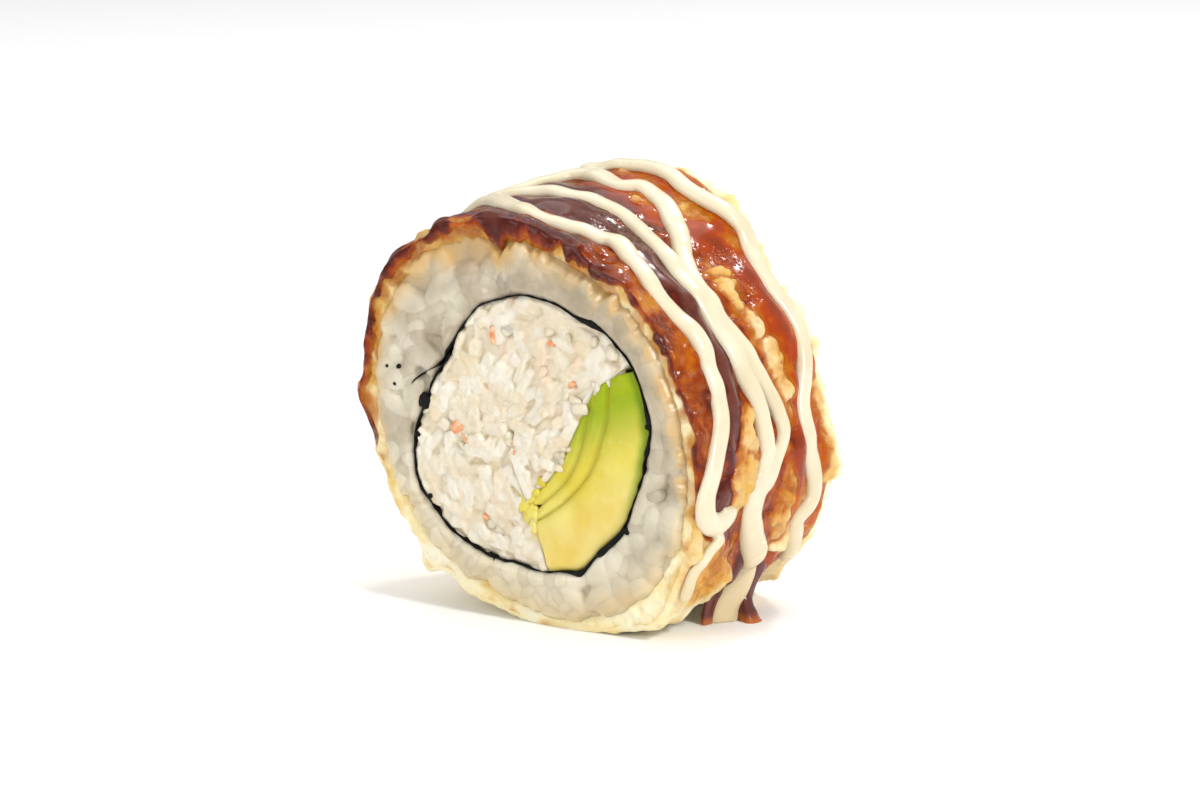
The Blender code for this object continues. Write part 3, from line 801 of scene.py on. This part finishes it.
def pressedGrains(x, z, grains):
    # The highest grain over each spot, how far it stands over the next one, which sets the painted shade in the creases
    # between grains, and its own tone
    best = np.full(x.shape, -0.6)
    second = np.full(x.shape, -0.6)
    tone = np.zeros(x.shape)
    for gx, gz, lie, long, wide, lift, own in grains:
        near, along, across = overGrain(x, z, gx, gz, lie, long, wide, max(long, wide))
        reach = along ** 2 + across ** 2
        height = np.where(reach < 1, 0.75 * np.sqrt(np.clip(1 - reach, 0, 1)) + lift, -0.6)
        higher = height > best[near]
        second[near] = np.where(higher, best[near], np.maximum(second[near], height))
        tone[near] = np.where(higher, own, tone[near])
        best[near] = np.where(higher, height, best[near])
    return best, np.clip((best - second) / 0.35, 0, 1), tone


def softened(field, times):
    for _ in range(times):
        wide = np.concatenate([field[:, -2:-1], field, field[:, 1:2]], 1)
        field = (wide[:, :-2] + 2 * field + wide[:, 2:]) / 4
        tall = np.concatenate([field[:1], field, field[-1:]], 0)
        field = (tall[:-2] + 2 * field + tall[2:]) / 4
    return field


def ricePiece():
    look = riceLook
    rng = np.random.default_rng(look["seed"])
    turn = fullTurn(look["columns"])
    inner = riceInside(turn)
    wander = noiseAt(onCylinder(turn, 0), 0.35, (8, 1, 1)) + 0.5 * noiseAt(onCylinder(turn, 0), 0.9)
    outer = batterInside(turn) + alongTurn(turn, look["reachOut"]) + 1.5 * wander
    outer = np.minimum(outer, np.minimum(crustBase(turn, -half), crustBase(turn, half)) - look["underCrust"])
    toast = alongTurn(turn, crustLook["toast"])
    radius = inner + (outer - inner) * np.linspace(0, 1, look["faceRows"])[:, None]
    x, z = radius * np.cos(turn), radius * np.sin(turn)
    inward, outward = radius - inner, outer - radius
    soften = ramp(inward, 0.0, 0.8) * ramp(outward, 0.2, 1.6)
    dip = -0.15 * (1 - ramp(inward, 0, 0.3)) - 1.0 * (1 - ramp(outward, 0.0, 1.4))
    holeX, holeZ, holeSize = look["hole"]
    hole = 0.9 * np.exp(-((x - holeX) ** 2 + (z - holeZ) ** 2) / holeSize)
    fade = np.exp(-(np.maximum(outward - 0.5, 0) / alongTurn(turn, look["stainWidth"])) ** 1.6)
    skin = Skin("creaseShade", "tone", "stain", "cream", "greyShade")
    for side in (-1, 1):
        height, creaseShade, tone = pressedGrains(x, z, riceGrains(rng, look["grains"]))
        height = softened(height, 2)
        spots = polar(turn, radius, side * half)
        swell = 0.8 * np.maximum(height, -0.35) * (0.25 + 0.75 * soften) + 0.03 * noiseAt(spots, 1.8)
        spots[..., 1] += side * (0.05 + swell + dip - hole)
        stain = fade * (0.2 + 0.8 * toast) * (1 + 0.5 * noiseAt(spots, 0.5, (1, 1, 4)))
        # Painted shade: greyer by angle, with noise, and more so next to the seaweed
        dullShade = 0.75 + 0.8 * noiseAt(spots, 0.3, (5, 5, 1)) + 0.6 * np.exp(-inward / 2.4)
        face = zip(spots, creaseShade, tone, stain, fade * (0.85 - 0.5 * toast), alongTurn(turn, look["greyShade"]) * dullShade)
        for row in list(face)[::-side]:
            skin.add(*row)
        wall = np.minimum(outer, batterInside(turn) + 0.1) if side < 0 else inner
        for y in np.linspace(side * (half - 1), -side * (half - 1), look["wallRows"] + 2)[1:-1]:
            skin.add(polar(turn, wall, y), 0, 0, 0, 0, 0)
    return skin.mesh()


def looseGrainPiece():
    rng = np.random.default_rng(riceLook["seed"] + 1)
    bm = bmesh.new()
    for side in (-1, 1):
        for x, z, _, long, wide, lift, own in riceGrains(rng, riceLook["looseGrains"]):
            angle = math.atan2(z, x)
            radius = min(max(math.hypot(x, z), riceInside(angle) + wide + 0.3), batterInside(angle) - wide - 0.6)
            spot = Vector((radius * math.cos(angle), side * (half - 0.3 + lift * 0.3), radius * math.sin(angle)))
            turned = (Matrix.Translation(spot) @ Matrix.Rotation(-(angle + math.pi / 2 + own * 0.4), 4, "Y")
                      @ Matrix.Diagonal((long, 0.8, wide, 1)))
            grain = bmesh.new()
            bmesh.ops.create_uvsphere(grain, u_segments=14, v_segments=10, radius=1, matrix=turned)
            for vert in grain.verts:
                vert.co += (vert.co - spot) * 0.2 * noise.noise(vert.co * 0.7)
            joinInto(bm, grain)
    return bm


def riceFinish(name, grains=False):
    f = Finish(name)
    cloud = f.noise(300, 3, 0.55)
    fine = f.noise(1500, 2, 0.5)
    glow = glowing(0.5, 0.0011, (1.0, 0.9, 0.75))
    white = f.ramp(cloud, (0.32, 227, 218, 194), (0.5, 237, 229, 206), (0.68, 246, 240, 221))
    # A shaded copy of the rice, painted in where shade falls
    dullShade = f.ramp(cloud, (0.32, 174, 161, 138), (0.5, 190, 176, 152), (0.68, 207, 194, 170))
    if grains:
        # Painted shade: loose grains higher up and further right are darker
        color = f.mix((f.axis("Z") + f.axis("X") * 0.4).between(10, 26), white, dullShade)
        return f.finish(Base_Color=color, Roughness=0.3 + 0.1 * fine, Normal=f.bump(fine, 0.0001, 0.3), **glow)
    # Painted shade by angle, with each grain's own tone on top
    color = f.mix((f.attribute("greyShade") + f.attribute("tone") * 0.3).clamped(), white, dullShade)
    color = f.mix((f.attribute("cream") + (cloud - 0.5) * 0.3).between(0.0, 0.9) * 0.8, color, (226, 204, 156))
    color = f.mix((f.attribute("stain") + (cloud - 0.5) * 0.4).between(0.2, 1.0) * 0.85, color, (222, 174, 92))
    # Painted shade in the creases between grains
    color = f.mix((1 - f.attribute("creaseShade").between(0.0, 0.3)) * 0.22, color, (176, 154, 120))
    return f.finish(Base_Color=color, Roughness=0.24 + 0.12 * fine, Specular_IOR_Level=0.35,
                    Normal=f.bump(fine * 0.4 + cloud, 0.00015, 0.3), **glow)


addPiece("riceRing", ricePiece(), riceFinish("pressedRice"), "rice", "rice_ring")
addPiece("riceGrains", looseGrainPiece(), riceFinish("riceGrain", grains=True), "rice")


# Seaweed: one thin wavy turn round the filling

noriLook = {
    "steps": 620, "lift": 0.12, "thin": 0.17,
    # where folds make it look thicker: degrees, added thickness, half-width
    "thick": [(55, 1.0, 5), (8, 0.6, 4), (-4, 0.4, 3), (-42, 0.45, 5), (-52, 0.6, 5), (-67, 0.6, 4), (148, 0.2, 5),
              (-100, 0.1, 5)],
    # dark blob in the pocket under the lap, a painted shadow of the hollow there, and small bits in the rice: x, z,
    # size
    "bits": [(-13.5, 0.9, 0.95), (-18.3, 4.2, 0.26), (-16.8, 4.3, 0.28), (-17.3, 2.4, 0.28), (-14.4, -2.8, 0.35),
             (-12.8, -9.3, 0.3), (12.6, -9.9, 0.45), (15.2, 1.4, 0.35)],
}


def noriThickness(angle):
    degrees = degreesAround(angle, 0)
    thick = noriLook["thin"] - 0.1 * ramp(abs(degrees), 150, 162)
    for at, more, wide in noriLook["thick"]:
        thick = thick + more * np.exp(-((degrees - at) / wide) ** 2)
    return thick + 0.08 * np.sin(31 * angle) * np.sin(7 * angle) + 0.05 * np.sin(53 * angle + 1)


def sheet(line, thick, reach, turn, ends):
    # A strip that stands on the line, its section a flat ring with eased corners
    columns = []
    section = [(-1, -1.0), (-0.4, -1.02), (0.4, -1.02), (1, -1.0), (1, -0.4), (1, 0.4), (1, 1.0), (0.4, 1.02),
               (-0.4, 1.02), (-1, 1.0), (-1, 0.4), (-1, -0.4), (-1, -1.0)]
    for across, along in section:
        stand = np.where(across > 0, np.maximum(thick - 0.08, 0.04), 0.08) * across * ends
        columns.append(polar(turn, line + stand, along * reach))
    bm = bentGrid(np.array(columns).transpose(1, 0, 2), {})
    fillOpen(bm)
    return bm


def noriPiece():
    turn = np.linspace(math.radians(roll["lapStart"]), math.radians(roll["lapEnd"] - 360), noriLook["steps"])
    degrees = np.degrees(turn)
    line = noriLine(turn) + np.where(degrees > 0, outerLap(degrees), innerLap(degrees + 360))
    ends = np.clip(np.minimum(degrees - degrees[-1], degrees[0] - degrees) / 3, 0.15, 1)
    steps = np.arange(len(turn))
    pinch = np.clip(np.minimum(steps, steps[::-1]) / 2, 0.02, 1)
    thick = noriThickness(turn) * ends
    raised = noriLook["lift"] + 0.25 * noiseAt(polar(turn, line, 0), 0.9, (0, 3, 0))
    raised = raised + 0.35 * ramp(degrees, 152, 160) + 0.8 * np.clip(thick - 0.25, 0, 0.6)
    bm = sheet(line, thick, half + raised, turn, pinch)
    for x, z, size in noriLook["bits"]:
        # The large one is the dark blob that stands for the shadow in the hollow under the lap
        sunk = 0.25 if size > 0.6 else 0.5
        spot = Matrix.Translation((x, -half - sunk, z)) @ Matrix.Diagonal((size, 0.3, size * 0.9, 1))
        bit = bmesh.new()
        bmesh.ops.create_icosphere(bit, subdivisions=3, radius=1, matrix=spot)
        for vert in bit.verts:
            vert.co += Vector((1, 0, 1)) * 0.3 * size * noise.noise(vert.co * 2.2)
        joinInto(bm, bit)
    # A short thread of the sheet in the rice below
    turn = np.radians(np.linspace(-106.9, -105.3, 12))
    joinInto(bm, sheet(np.linspace(15.5, 17.3, 12), 0.08, half + 0.2, turn, 0.9))
    return bm


def noriFinish():
    f = Finish("seaweed")
    weave = f.noise(900, 4, 0.6)
    return f.finish(Base_Color=f.ramp(weave, (0.35, 6, 5, 3), (0.6, 13, 12, 8), (0.8, 34, 30, 18)),
                    Roughness=0.42 + 0.2 * weave, Normal=f.bump(weave, 0.0002, 0.6), Specular_IOR_Level=0.15)


addPiece("noriSheet", noriPiece(), noriFinish(), "seaweed", "nori_sheet")


# Avocado: three slices against the right of the seaweed

avocadoLook = {
    "edgeHeights": [-15.5, -14.5, -12.8, -10.3, -8.0, -5.5, -2.5, 0.5, 4.2, 5.9, 6.7],
    "edge": [2.6, 2.2, 1.4, 0.3, -0.2, 2.5, 4.4, 5.9, 7.8, 10.1, 12.2],
    "cutHeights": [-11.5, -10.0, -9.0, -7.2, -5.1, -2.4, 1.2, 4.1, 5.4],
    "cut1": [-1.0, 1.6, 3.3, 5.4, 7.4, 8.7, 9.9, 10.2, 10.2],
    "cut2": [-1.0, 0.2, 0.9, 3.2, 5.2, 6.5, 7.4, 8.0, 8.6],
    "rows": 120, "across": 20,
}


def eased(z, heights, values):
    # Straight runs between the given places, rounded at the corners
    steps = np.array([-0.9, -0.45, 0.0, 0.45, 0.9])
    return sum(np.interp(z + step, heights, values) for step in steps) / len(steps)


def avocadoEdge(z):
    return eased(z, avocadoLook["edgeHeights"], avocadoLook["edge"])


def avocadoCut(z, name):
    return np.maximum(eased(z, avocadoLook["cutHeights"], avocadoLook[name]), avocadoEdge(z))


def roundSlice(field):
    # From the front over the right wall, the back and the left wall to the front again
    first, last = field[:, :1], field[:, -1:]
    return np.concatenate([field, last, last, last, field[:, ::-1], first, first, first, first], 1)


def slicePiece(left, right, lift):
    # left and right are matching lines of (x, z); the faces between them are slightly crowned
    across = np.linspace(0, 1, avocadoLook["across"])
    x, z = (left[:, k:k + 1] + (right[:, k:k + 1] - left[:, k:k + 1]) * across for k in (0, 1))
    edge = np.minimum(across, 1 - across) * np.hypot(*(right - left).T)[:, None]
    spots = np.stack([x, 0 * x, z], -1)
    crown = lift + 0.3 * ramp(edge, 0, 0.8) - 0.35
    reach = half + crown + 0.14 * noiseAt(spots, 0.4) + 0.05 * noiseAt(spots, 1.4)
    rimDistance = fillingOutside(np.arctan2(z, x)) - np.hypot(x, z)
    face = np.ones(len(across))
    depth = np.concatenate([-face, [-0.5, 0.0, 0.5], face, [0.5, 0.0, -0.5, -1]])
    rows = np.stack([roundSlice(x), roundSlice(reach) * depth, roundSlice(z)], -1)
    bm = bentGrid(rows, {"rimDistance": roundSlice(rimDistance), "cutEdge": roundSlice(edge)})
    fillOpen(bm)
    return bm


def avocadoFinish(name, crumbs=False):
    f = Finish(name)
    z = f.axis("Z")
    x = f.axis("X")
    cloud = f.noise(260, 3, 0.5)
    low = f.ramp(cloud, (0.35, 243, 214, 106), (0.65, 248, 229, 148))
    middle = f.ramp(cloud, (0.35, 229, 210, 72), (0.65, 240, 226, 110))
    green = f.ramp(cloud, (0.35, 140, 174, 0), (0.65, 174, 190, 6))
    up = z + (cloud - 0.5) * 4 - (x - 7) * 0.45
    color = f.mix(up.between(10.0, 17.5), low, middle)
    color = f.mix(up.between(16.5, 24.0), color, green)
    if crumbs:
        return f.finish(Base_Color=color, Roughness=0.45, Normal=f.bump(cloud, 0.0003, 0.35), Specular_IOR_Level=0.2)
    streak = f.noise(700, 2, 0.5)
    skinSide = 1 - (f.attribute("rimDistance") + (cloud - 0.5)).between(0.1, 1.3)
    color = f.mix(skinSide * z.between(9, 20) * 0.85, color, (120, 156, 6))
    color = f.mix(streak.between(0.6, 0.8) * 0.15, color, (246, 238, 170))
    color = f.mix((1 - f.attribute("cutEdge").between(0.0, 0.5)) * 0.3, color, (188, 178, 40))
    return f.finish(Base_Color=color, Roughness=0.34 + 0.12 * streak, Specular_IOR_Level=0.2,
                    Normal=f.bump(cloud * 0.7 + streak * 0.3, 0.0003, 0.35), **glowing(0.4, 0.0015, (1.0, 0.9, 0.3)))


def avocadoSide(z, name, shift):
    # A slice's left or right line at these heights, which never crosses the next cut
    line = avocadoEdge(z) if name == "edge" else avocadoCut(z, name)
    return np.stack([line + shift, z], 1)


def avocadoPieces():
    flesh = avocadoFinish("avocadoFlesh")
    count, gap, overlap = avocadoLook["rows"], 0.05, -0.02
    bend = np.radians(np.linspace(27.5, -81, count))
    right = polar(bend, fillingOutside(bend) + 0.1, 0)[:, ::2]
    left = avocadoSide(np.linspace(6.35, -14.3, count), "cut1", gap)
    left[[0, -1]] = right[[0, -1]]
    addPiece("avocadoOuter", slicePiece(left, right, 0.5), flesh, "avocado", "avocado_slice_1")
    z = np.linspace(5.4, -10.6, count)
    left = avocadoSide(z, "cut2", gap)
    right = np.maximum(avocadoSide(z, "cut1", overlap), avocadoSide(z, "cut2", gap + 0.01))
    addPiece("avocadoMiddle", slicePiece(left, right, 0.28), flesh, "avocado", "avocado_slice_2")
    z = np.linspace(4.2, -8.6, count)
    left = avocadoSide(z, "edge", 0)
    right = np.maximum(avocadoSide(z, "cut2", overlap), avocadoSide(z, "edge", -overlap))
    addPiece("avocadoInner", slicePiece(left, right, 0.1), flesh, "avocado", "avocado_slice_3")


avocadoPieces()


# Crab: packed white flakes, a few of them orange

crabLook = {
    "middle": (-4.0, -0.5), "columns": 440, "faceRows": 92, "flakes": 620, "crumbs": 40, "seed": 17,
    "flecks": [  # x, z, length, width, turn in degrees
        (-9.5, -1.5, 2.2, 1.5, 40), (-8.4, -2.4, 2.2, 0.5, -40), (-4.7, 8.9, 2.2, 0.7, 96), (-6.0, -10.8, 1.5, 0.9, 20),
        (3.1, 8.7, 1.4, 0.5, -15), (5.4, 4.6, 1.0, 0.6, 30), (-1.8, -3.2, 1.0, 0.5, 70),
        (2.6, -4.2, 0.9, 0.5, 80),
    ],
    # crumbs along the avocado: heights, number on each cut, length, place, width, thickness, lift
    "beside": ((-5.5, 6.4), 12, (0.9, 2.6), (-0.6, 0.5), (0.4, 0.8), 0.8, (-0.25, 0.0)),
    "crushed": ((-13.0, -6.0), 24, (0.9, 2.4), (-1.0, 0.4), (0.5, 0.9), 0.7, (-0.25, 0.05)),
}


def crabReach(turn):
    steps = np.linspace(0, 26, 521)
    cx, cz = crabLook["middle"]
    reach = []
    for a in turn:
        x, z = cx + steps * math.cos(a), cz + steps * math.sin(a)
        inside = np.hypot(x, z) < fillingOutside(np.arctan2(z, x)) + 0.12
        inside &= (x < avocadoEdge(z) + 0.1) | (z > 6.6)
        reach.append(steps[np.argmin(inside)] if not inside.all() else steps[-1])
    kernel = np.hanning(5) / np.hanning(5).sum()
    reach = np.convolve(np.pad(reach[:-1], 2, mode="wrap"), kernel, "valid")
    return np.append(reach, reach[0])


def crabFlakes(rng, count):
    flakes = []
    for _ in range(count):
        long = rng.uniform(1.2, 4.2) / 2
        flakes.append((rng.uniform(-17, 14), rng.uniform(-17, 15), rng.uniform(0, math.pi), long,
                       rng.uniform(0.9, 1.9) / 2, rng.uniform(-0.28, 0.28), rng.uniform(-0.35, 0.35),
                       rng.uniform(-0.3, 0.4), rng.uniform(0, 1)))
    return flakes


def flakeField(x, z, flakes):
    # The highest blunt flake over each spot, and its own tone
    best = 0.12 * np.sin(x * 1.7) * np.sin(z * 1.9) - 0.35
    tone = np.full(x.shape, 0.5)
    for fx, fz, lie, long, wide, lean, tilt, lift, own in flakes:
        near, along, across = overGrain(x, z, fx, fz, lie, long, wide, long + wide)
        reach = along ** 4 + across ** 4
        height = lift + lean * along + tilt * across * 0.6 + 0.3 * np.sqrt(np.clip(1 - reach, 0, 1))
        height = np.where(reach < 1, height, -9)
        higher = height > best[near]
        tone[near] = np.where(higher, own, tone[near])
        best[near] = np.where(higher, height, best[near])
    return best, tone


def crabPiece():
    look = crabLook
    rng = np.random.default_rng(look["seed"])
    turn = fullTurn(look["columns"])
    reach = crabReach(turn)
    cx, cz = look["middle"]
    skin = Skin("hollow", "tone")
    parts = np.linspace(0, 1, look["faceRows"])
    parts = (0.35 * np.sqrt(parts) + 0.65 * parts)[:, None]
    x, z = cx + reach * parts * np.cos(turn), cz + reach * parts * np.sin(turn)
    for side in (-1, 1):
        height, tone = flakeField(x, z, crabFlakes(rng, look["flakes"]))
        low = softened(height, 30)
        height = softened(height, 1)
        spots = np.stack([x, 0 * x + 7 * side, z], -1)
        height[0] = height[0].mean()
        relief = 0.62 * height + 0.1 * noiseAt(spots, 1.7) + 0.25 * noiseAt(spots, 0.25, (2, 1, 0))
        edge = 0.3 * ramp((1 - parts) * reach, 0.5, 0.0)
        spots[..., 1] = side * (half + 0.02 + relief - edge)
        # How far each spot lies below its neighbours, for painted shade in the hollows
        hollow = np.clip((low - height - 0.08) * 2.2, 0, 1)
        for row in list(zip(spots, hollow, tone))[::-side]:
            skin.add(*row)
        if side < 0:
            for y in (-6.0, 0.0, 6.0):
                skin.add(np.stack([x[-1], 0 * turn + y, z[-1]], -1), 0, 0)
    return skin.mesh(closed=False)


def insideCrab(x, z, margin):
    angle = math.atan2(z, x)
    if math.hypot(x, z) > fillingOutside(angle) - margin:
        return False
    return z > 6.9 + margin or x < avocadoEdge(z) - margin


def addCrumb(bm, x, z, side, long, wide, high, turn, lift, rng, rough=0.35, subdivisions=2):
    spot = Vector((x, side * (half + lift), z))
    turned = Matrix.Translation(spot) @ Matrix.Rotation(turn, 4, "Y") @ Matrix.Rotation(rng.uniform(-0.3, 0.3), 4, "Z")
    turned = turned @ Matrix.Diagonal((long / 2, high / 2, wide / 2, 1))
    crumb = bmesh.new()
    bmesh.ops.create_icosphere(crumb, subdivisions=subdivisions, radius=1)
    seed = Vector((rng.uniform(0, 50), rng.uniform(0, 50), 0))
    for vert in crumb.verts:
        square = max(abs(vert.co.x), abs(vert.co.y), abs(vert.co.z))
        vert.co = vert.co.lerp(vert.co / square * 0.8, 0.6) * (1 + rough * noise.noise(vert.co * 1.3 + seed))
    bmesh.ops.transform(crumb, matrix=turned, verts=crumb.verts)
    joinInto(bm, crumb)


def crumbsBesideAvocado(bm, rng, heights, count, length, place, width, high, lift):
    for side in (-1, 1):
        for z in rng.uniform(*heights, count):
            long = rng.uniform(*length)
            addCrumb(bm, avocadoEdge(z) + rng.uniform(*place), z, side, long, long * rng.uniform(*width), high,
                     rng.uniform(0, math.pi), rng.uniform(*lift), rng)


def crumbPiece():
    rng = np.random.default_rng(crabLook["seed"] + 2)
    bm = bmesh.new()
    made = 0
    while made < crabLook["crumbs"] * 2:
        x, z = rng.uniform(-15.5, 12.5), rng.uniform(-15.5, 14)
        long = rng.uniform(0.8, 2.4)
        if not insideCrab(x, z, 0.2 + long * 0.3):
            continue
        addCrumb(bm, x, z, -1 if made % 2 else 1, long, long * rng.uniform(0.45, 0.9), rng.uniform(0.6, 0.9),
                 rng.uniform(0, math.pi), rng.uniform(-0.2, 0.0), rng)
        made += 1
    crumbsBesideAvocado(bm, rng, *crabLook["beside"])
    return bm


def avocadoBitsPiece():
    # Crushed ends of the slices, low on the left of them
    bm = bmesh.new()
    crumbsBesideAvocado(bm, np.random.default_rng(crabLook["seed"] + 3), *crabLook["crushed"])
    return bm


def fleckPiece():
    rng = np.random.default_rng(crabLook["seed"] + 1)
    bm = bmesh.new()
    for side in (-1, 1):
        for x, z, long, wide, degrees in crabLook["flecks"]:
            addCrumb(bm, x, z, side, long, wide, 0.8, math.radians(-degrees), 0.05, rng, rough=0.4, subdivisions=3)
    return bm


def crabFinish(name, orange=False, crumbs=False):
    f = Finish(name)
    cloud = f.noise(240, 3, 0.55)
    fine = f.noise(1400, 3, 0.6)
    if orange:
        color = f.ramp(fine, (0.38, 246, 146, 84), (0.54, 250, 186, 140), (0.7, 252, 230, 204))
    else:
        color = f.ramp(cloud, (0.3, 230, 212, 174), (0.5, 238, 225, 196), (0.7, 247, 240, 222))
        blush = f.noise(300, 2, 0.5, shift=(0.3, 0.1, 0.2))
        color = f.mix(blush.between(0.54, 0.72) * 0.4, color, (250, 206, 174))
        if not crumbs:
            tone = f.attribute("tone")
            color = f.mix(tone.between(0.75, 0.95) * 0.3, color, (248, 222, 194))
            color = f.mix((1 - tone.between(0.2, 0.6)) * 0.6, color, (248, 243, 229))
            # Painted shade: the hollows between flakes are darker and warmer
            color = f.mix(f.attribute("hollow") * 0.4, color, (234, 208, 160))
    return f.finish(Base_Color=color, Roughness=0.4 + 0.1 * fine, Normal=f.bump(fine, 0.0002, 0.4),
                    **glowing(0.4, 0.0008, (1.0, 0.9, 0.8)))


addPiece("crabCore", crabPiece(), crabFinish("crabMeat"), "crab", "crab_filling")
addPiece("crabCrumbs", crumbPiece(), crabFinish("crabCrumb", crumbs=True), "crab")
addPiece("crabFlecks", fleckPiece(), crabFinish("crabFleck", orange=True), "crab")
addPiece("avocadoBits", avocadoBitsPiece(), avocadoFinish("avocadoCrushed", crumbs=True), "avocado")


# Floor, light and camera

studio = {
    "azimuth": 35, "elevation": 11, "distance": 0.45, "lens": 126.6, "aim": (-0.0002, 0, 0.0218),
    "floorSize": 3, "ambient": 0.45, "lit": (0, 0, 0.02),
    # size, power and place of each light
    "lights": {
        "softTop": (1.1, 6.2, (-0.15, 0.3, 1.0)), "softFront": (0.45, 1.6, (-0.15, -0.6, 0.3)),
        "keyRight": (0.12, 2.7, (0.55, -0.1, 0.42)), "fillLow": (0.4, 0.6, (0.6, -0.35, 0.12)),
        "sparkleBack": (0.07, 1.1, (0.02, 0.45, 0.5)),
    },
}


def addFloor():
    bm = bmesh.new()
    bmesh.ops.create_grid(bm, x_segments=1, y_segments=1, size=studio["floorSize"])
    f = Finish("paleFloor")
    pale = f.finish(Base_Color=paint(250, 250, 250, 1), Roughness=0.7, Specular_IOR_Level=0.2)
    floor = meshObject("paleFloor", bm, pale)


def addLight(name, size, power, spot):
    light = bpy.data.lights.new(name, "AREA")
    light.size = size
    light.energy = power
    lamp = addObject(name, light)
    lamp.location = spot
    lamp.rotation_euler = (Vector(studio["lit"]) - Vector(spot)).to_track_quat("-Z", "Y").to_euler()


def addWorld():
    world = bpy.data.worlds.new("studio")
    bpy.context.scene.world = world
    world.use_nodes = True
    background = world.node_tree.nodes["Background"].inputs
    background["Color"].default_value = (1, 1, 1, 1)
    background["Strength"].default_value = studio["ambient"]


def addCamera():
    turn, lift = math.radians(studio["azimuth"]), math.radians(studio["elevation"])
    away = Vector((math.sin(turn) * math.cos(lift), -math.cos(turn) * math.cos(lift), math.sin(lift)))
    camera = addObject("camera", bpy.data.cameras.new("camera"))
    camera.location = Vector(studio["aim"]) + away * studio["distance"]
    camera.rotation_euler = away.to_track_quat("Z", "Y").to_euler()
    camera.data.lens = studio["lens"]
    camera.data.sensor_width = 36
    camera.data.clip_start = 0.01
    bpy.context.scene.camera = camera


addFloor()
for name, (size, power, spot) in studio["lights"].items():
    addLight(name, size, power, spot)
addWorld()
bpy.context.scene.view_settings.view_transform = "Standard"
addCamera()
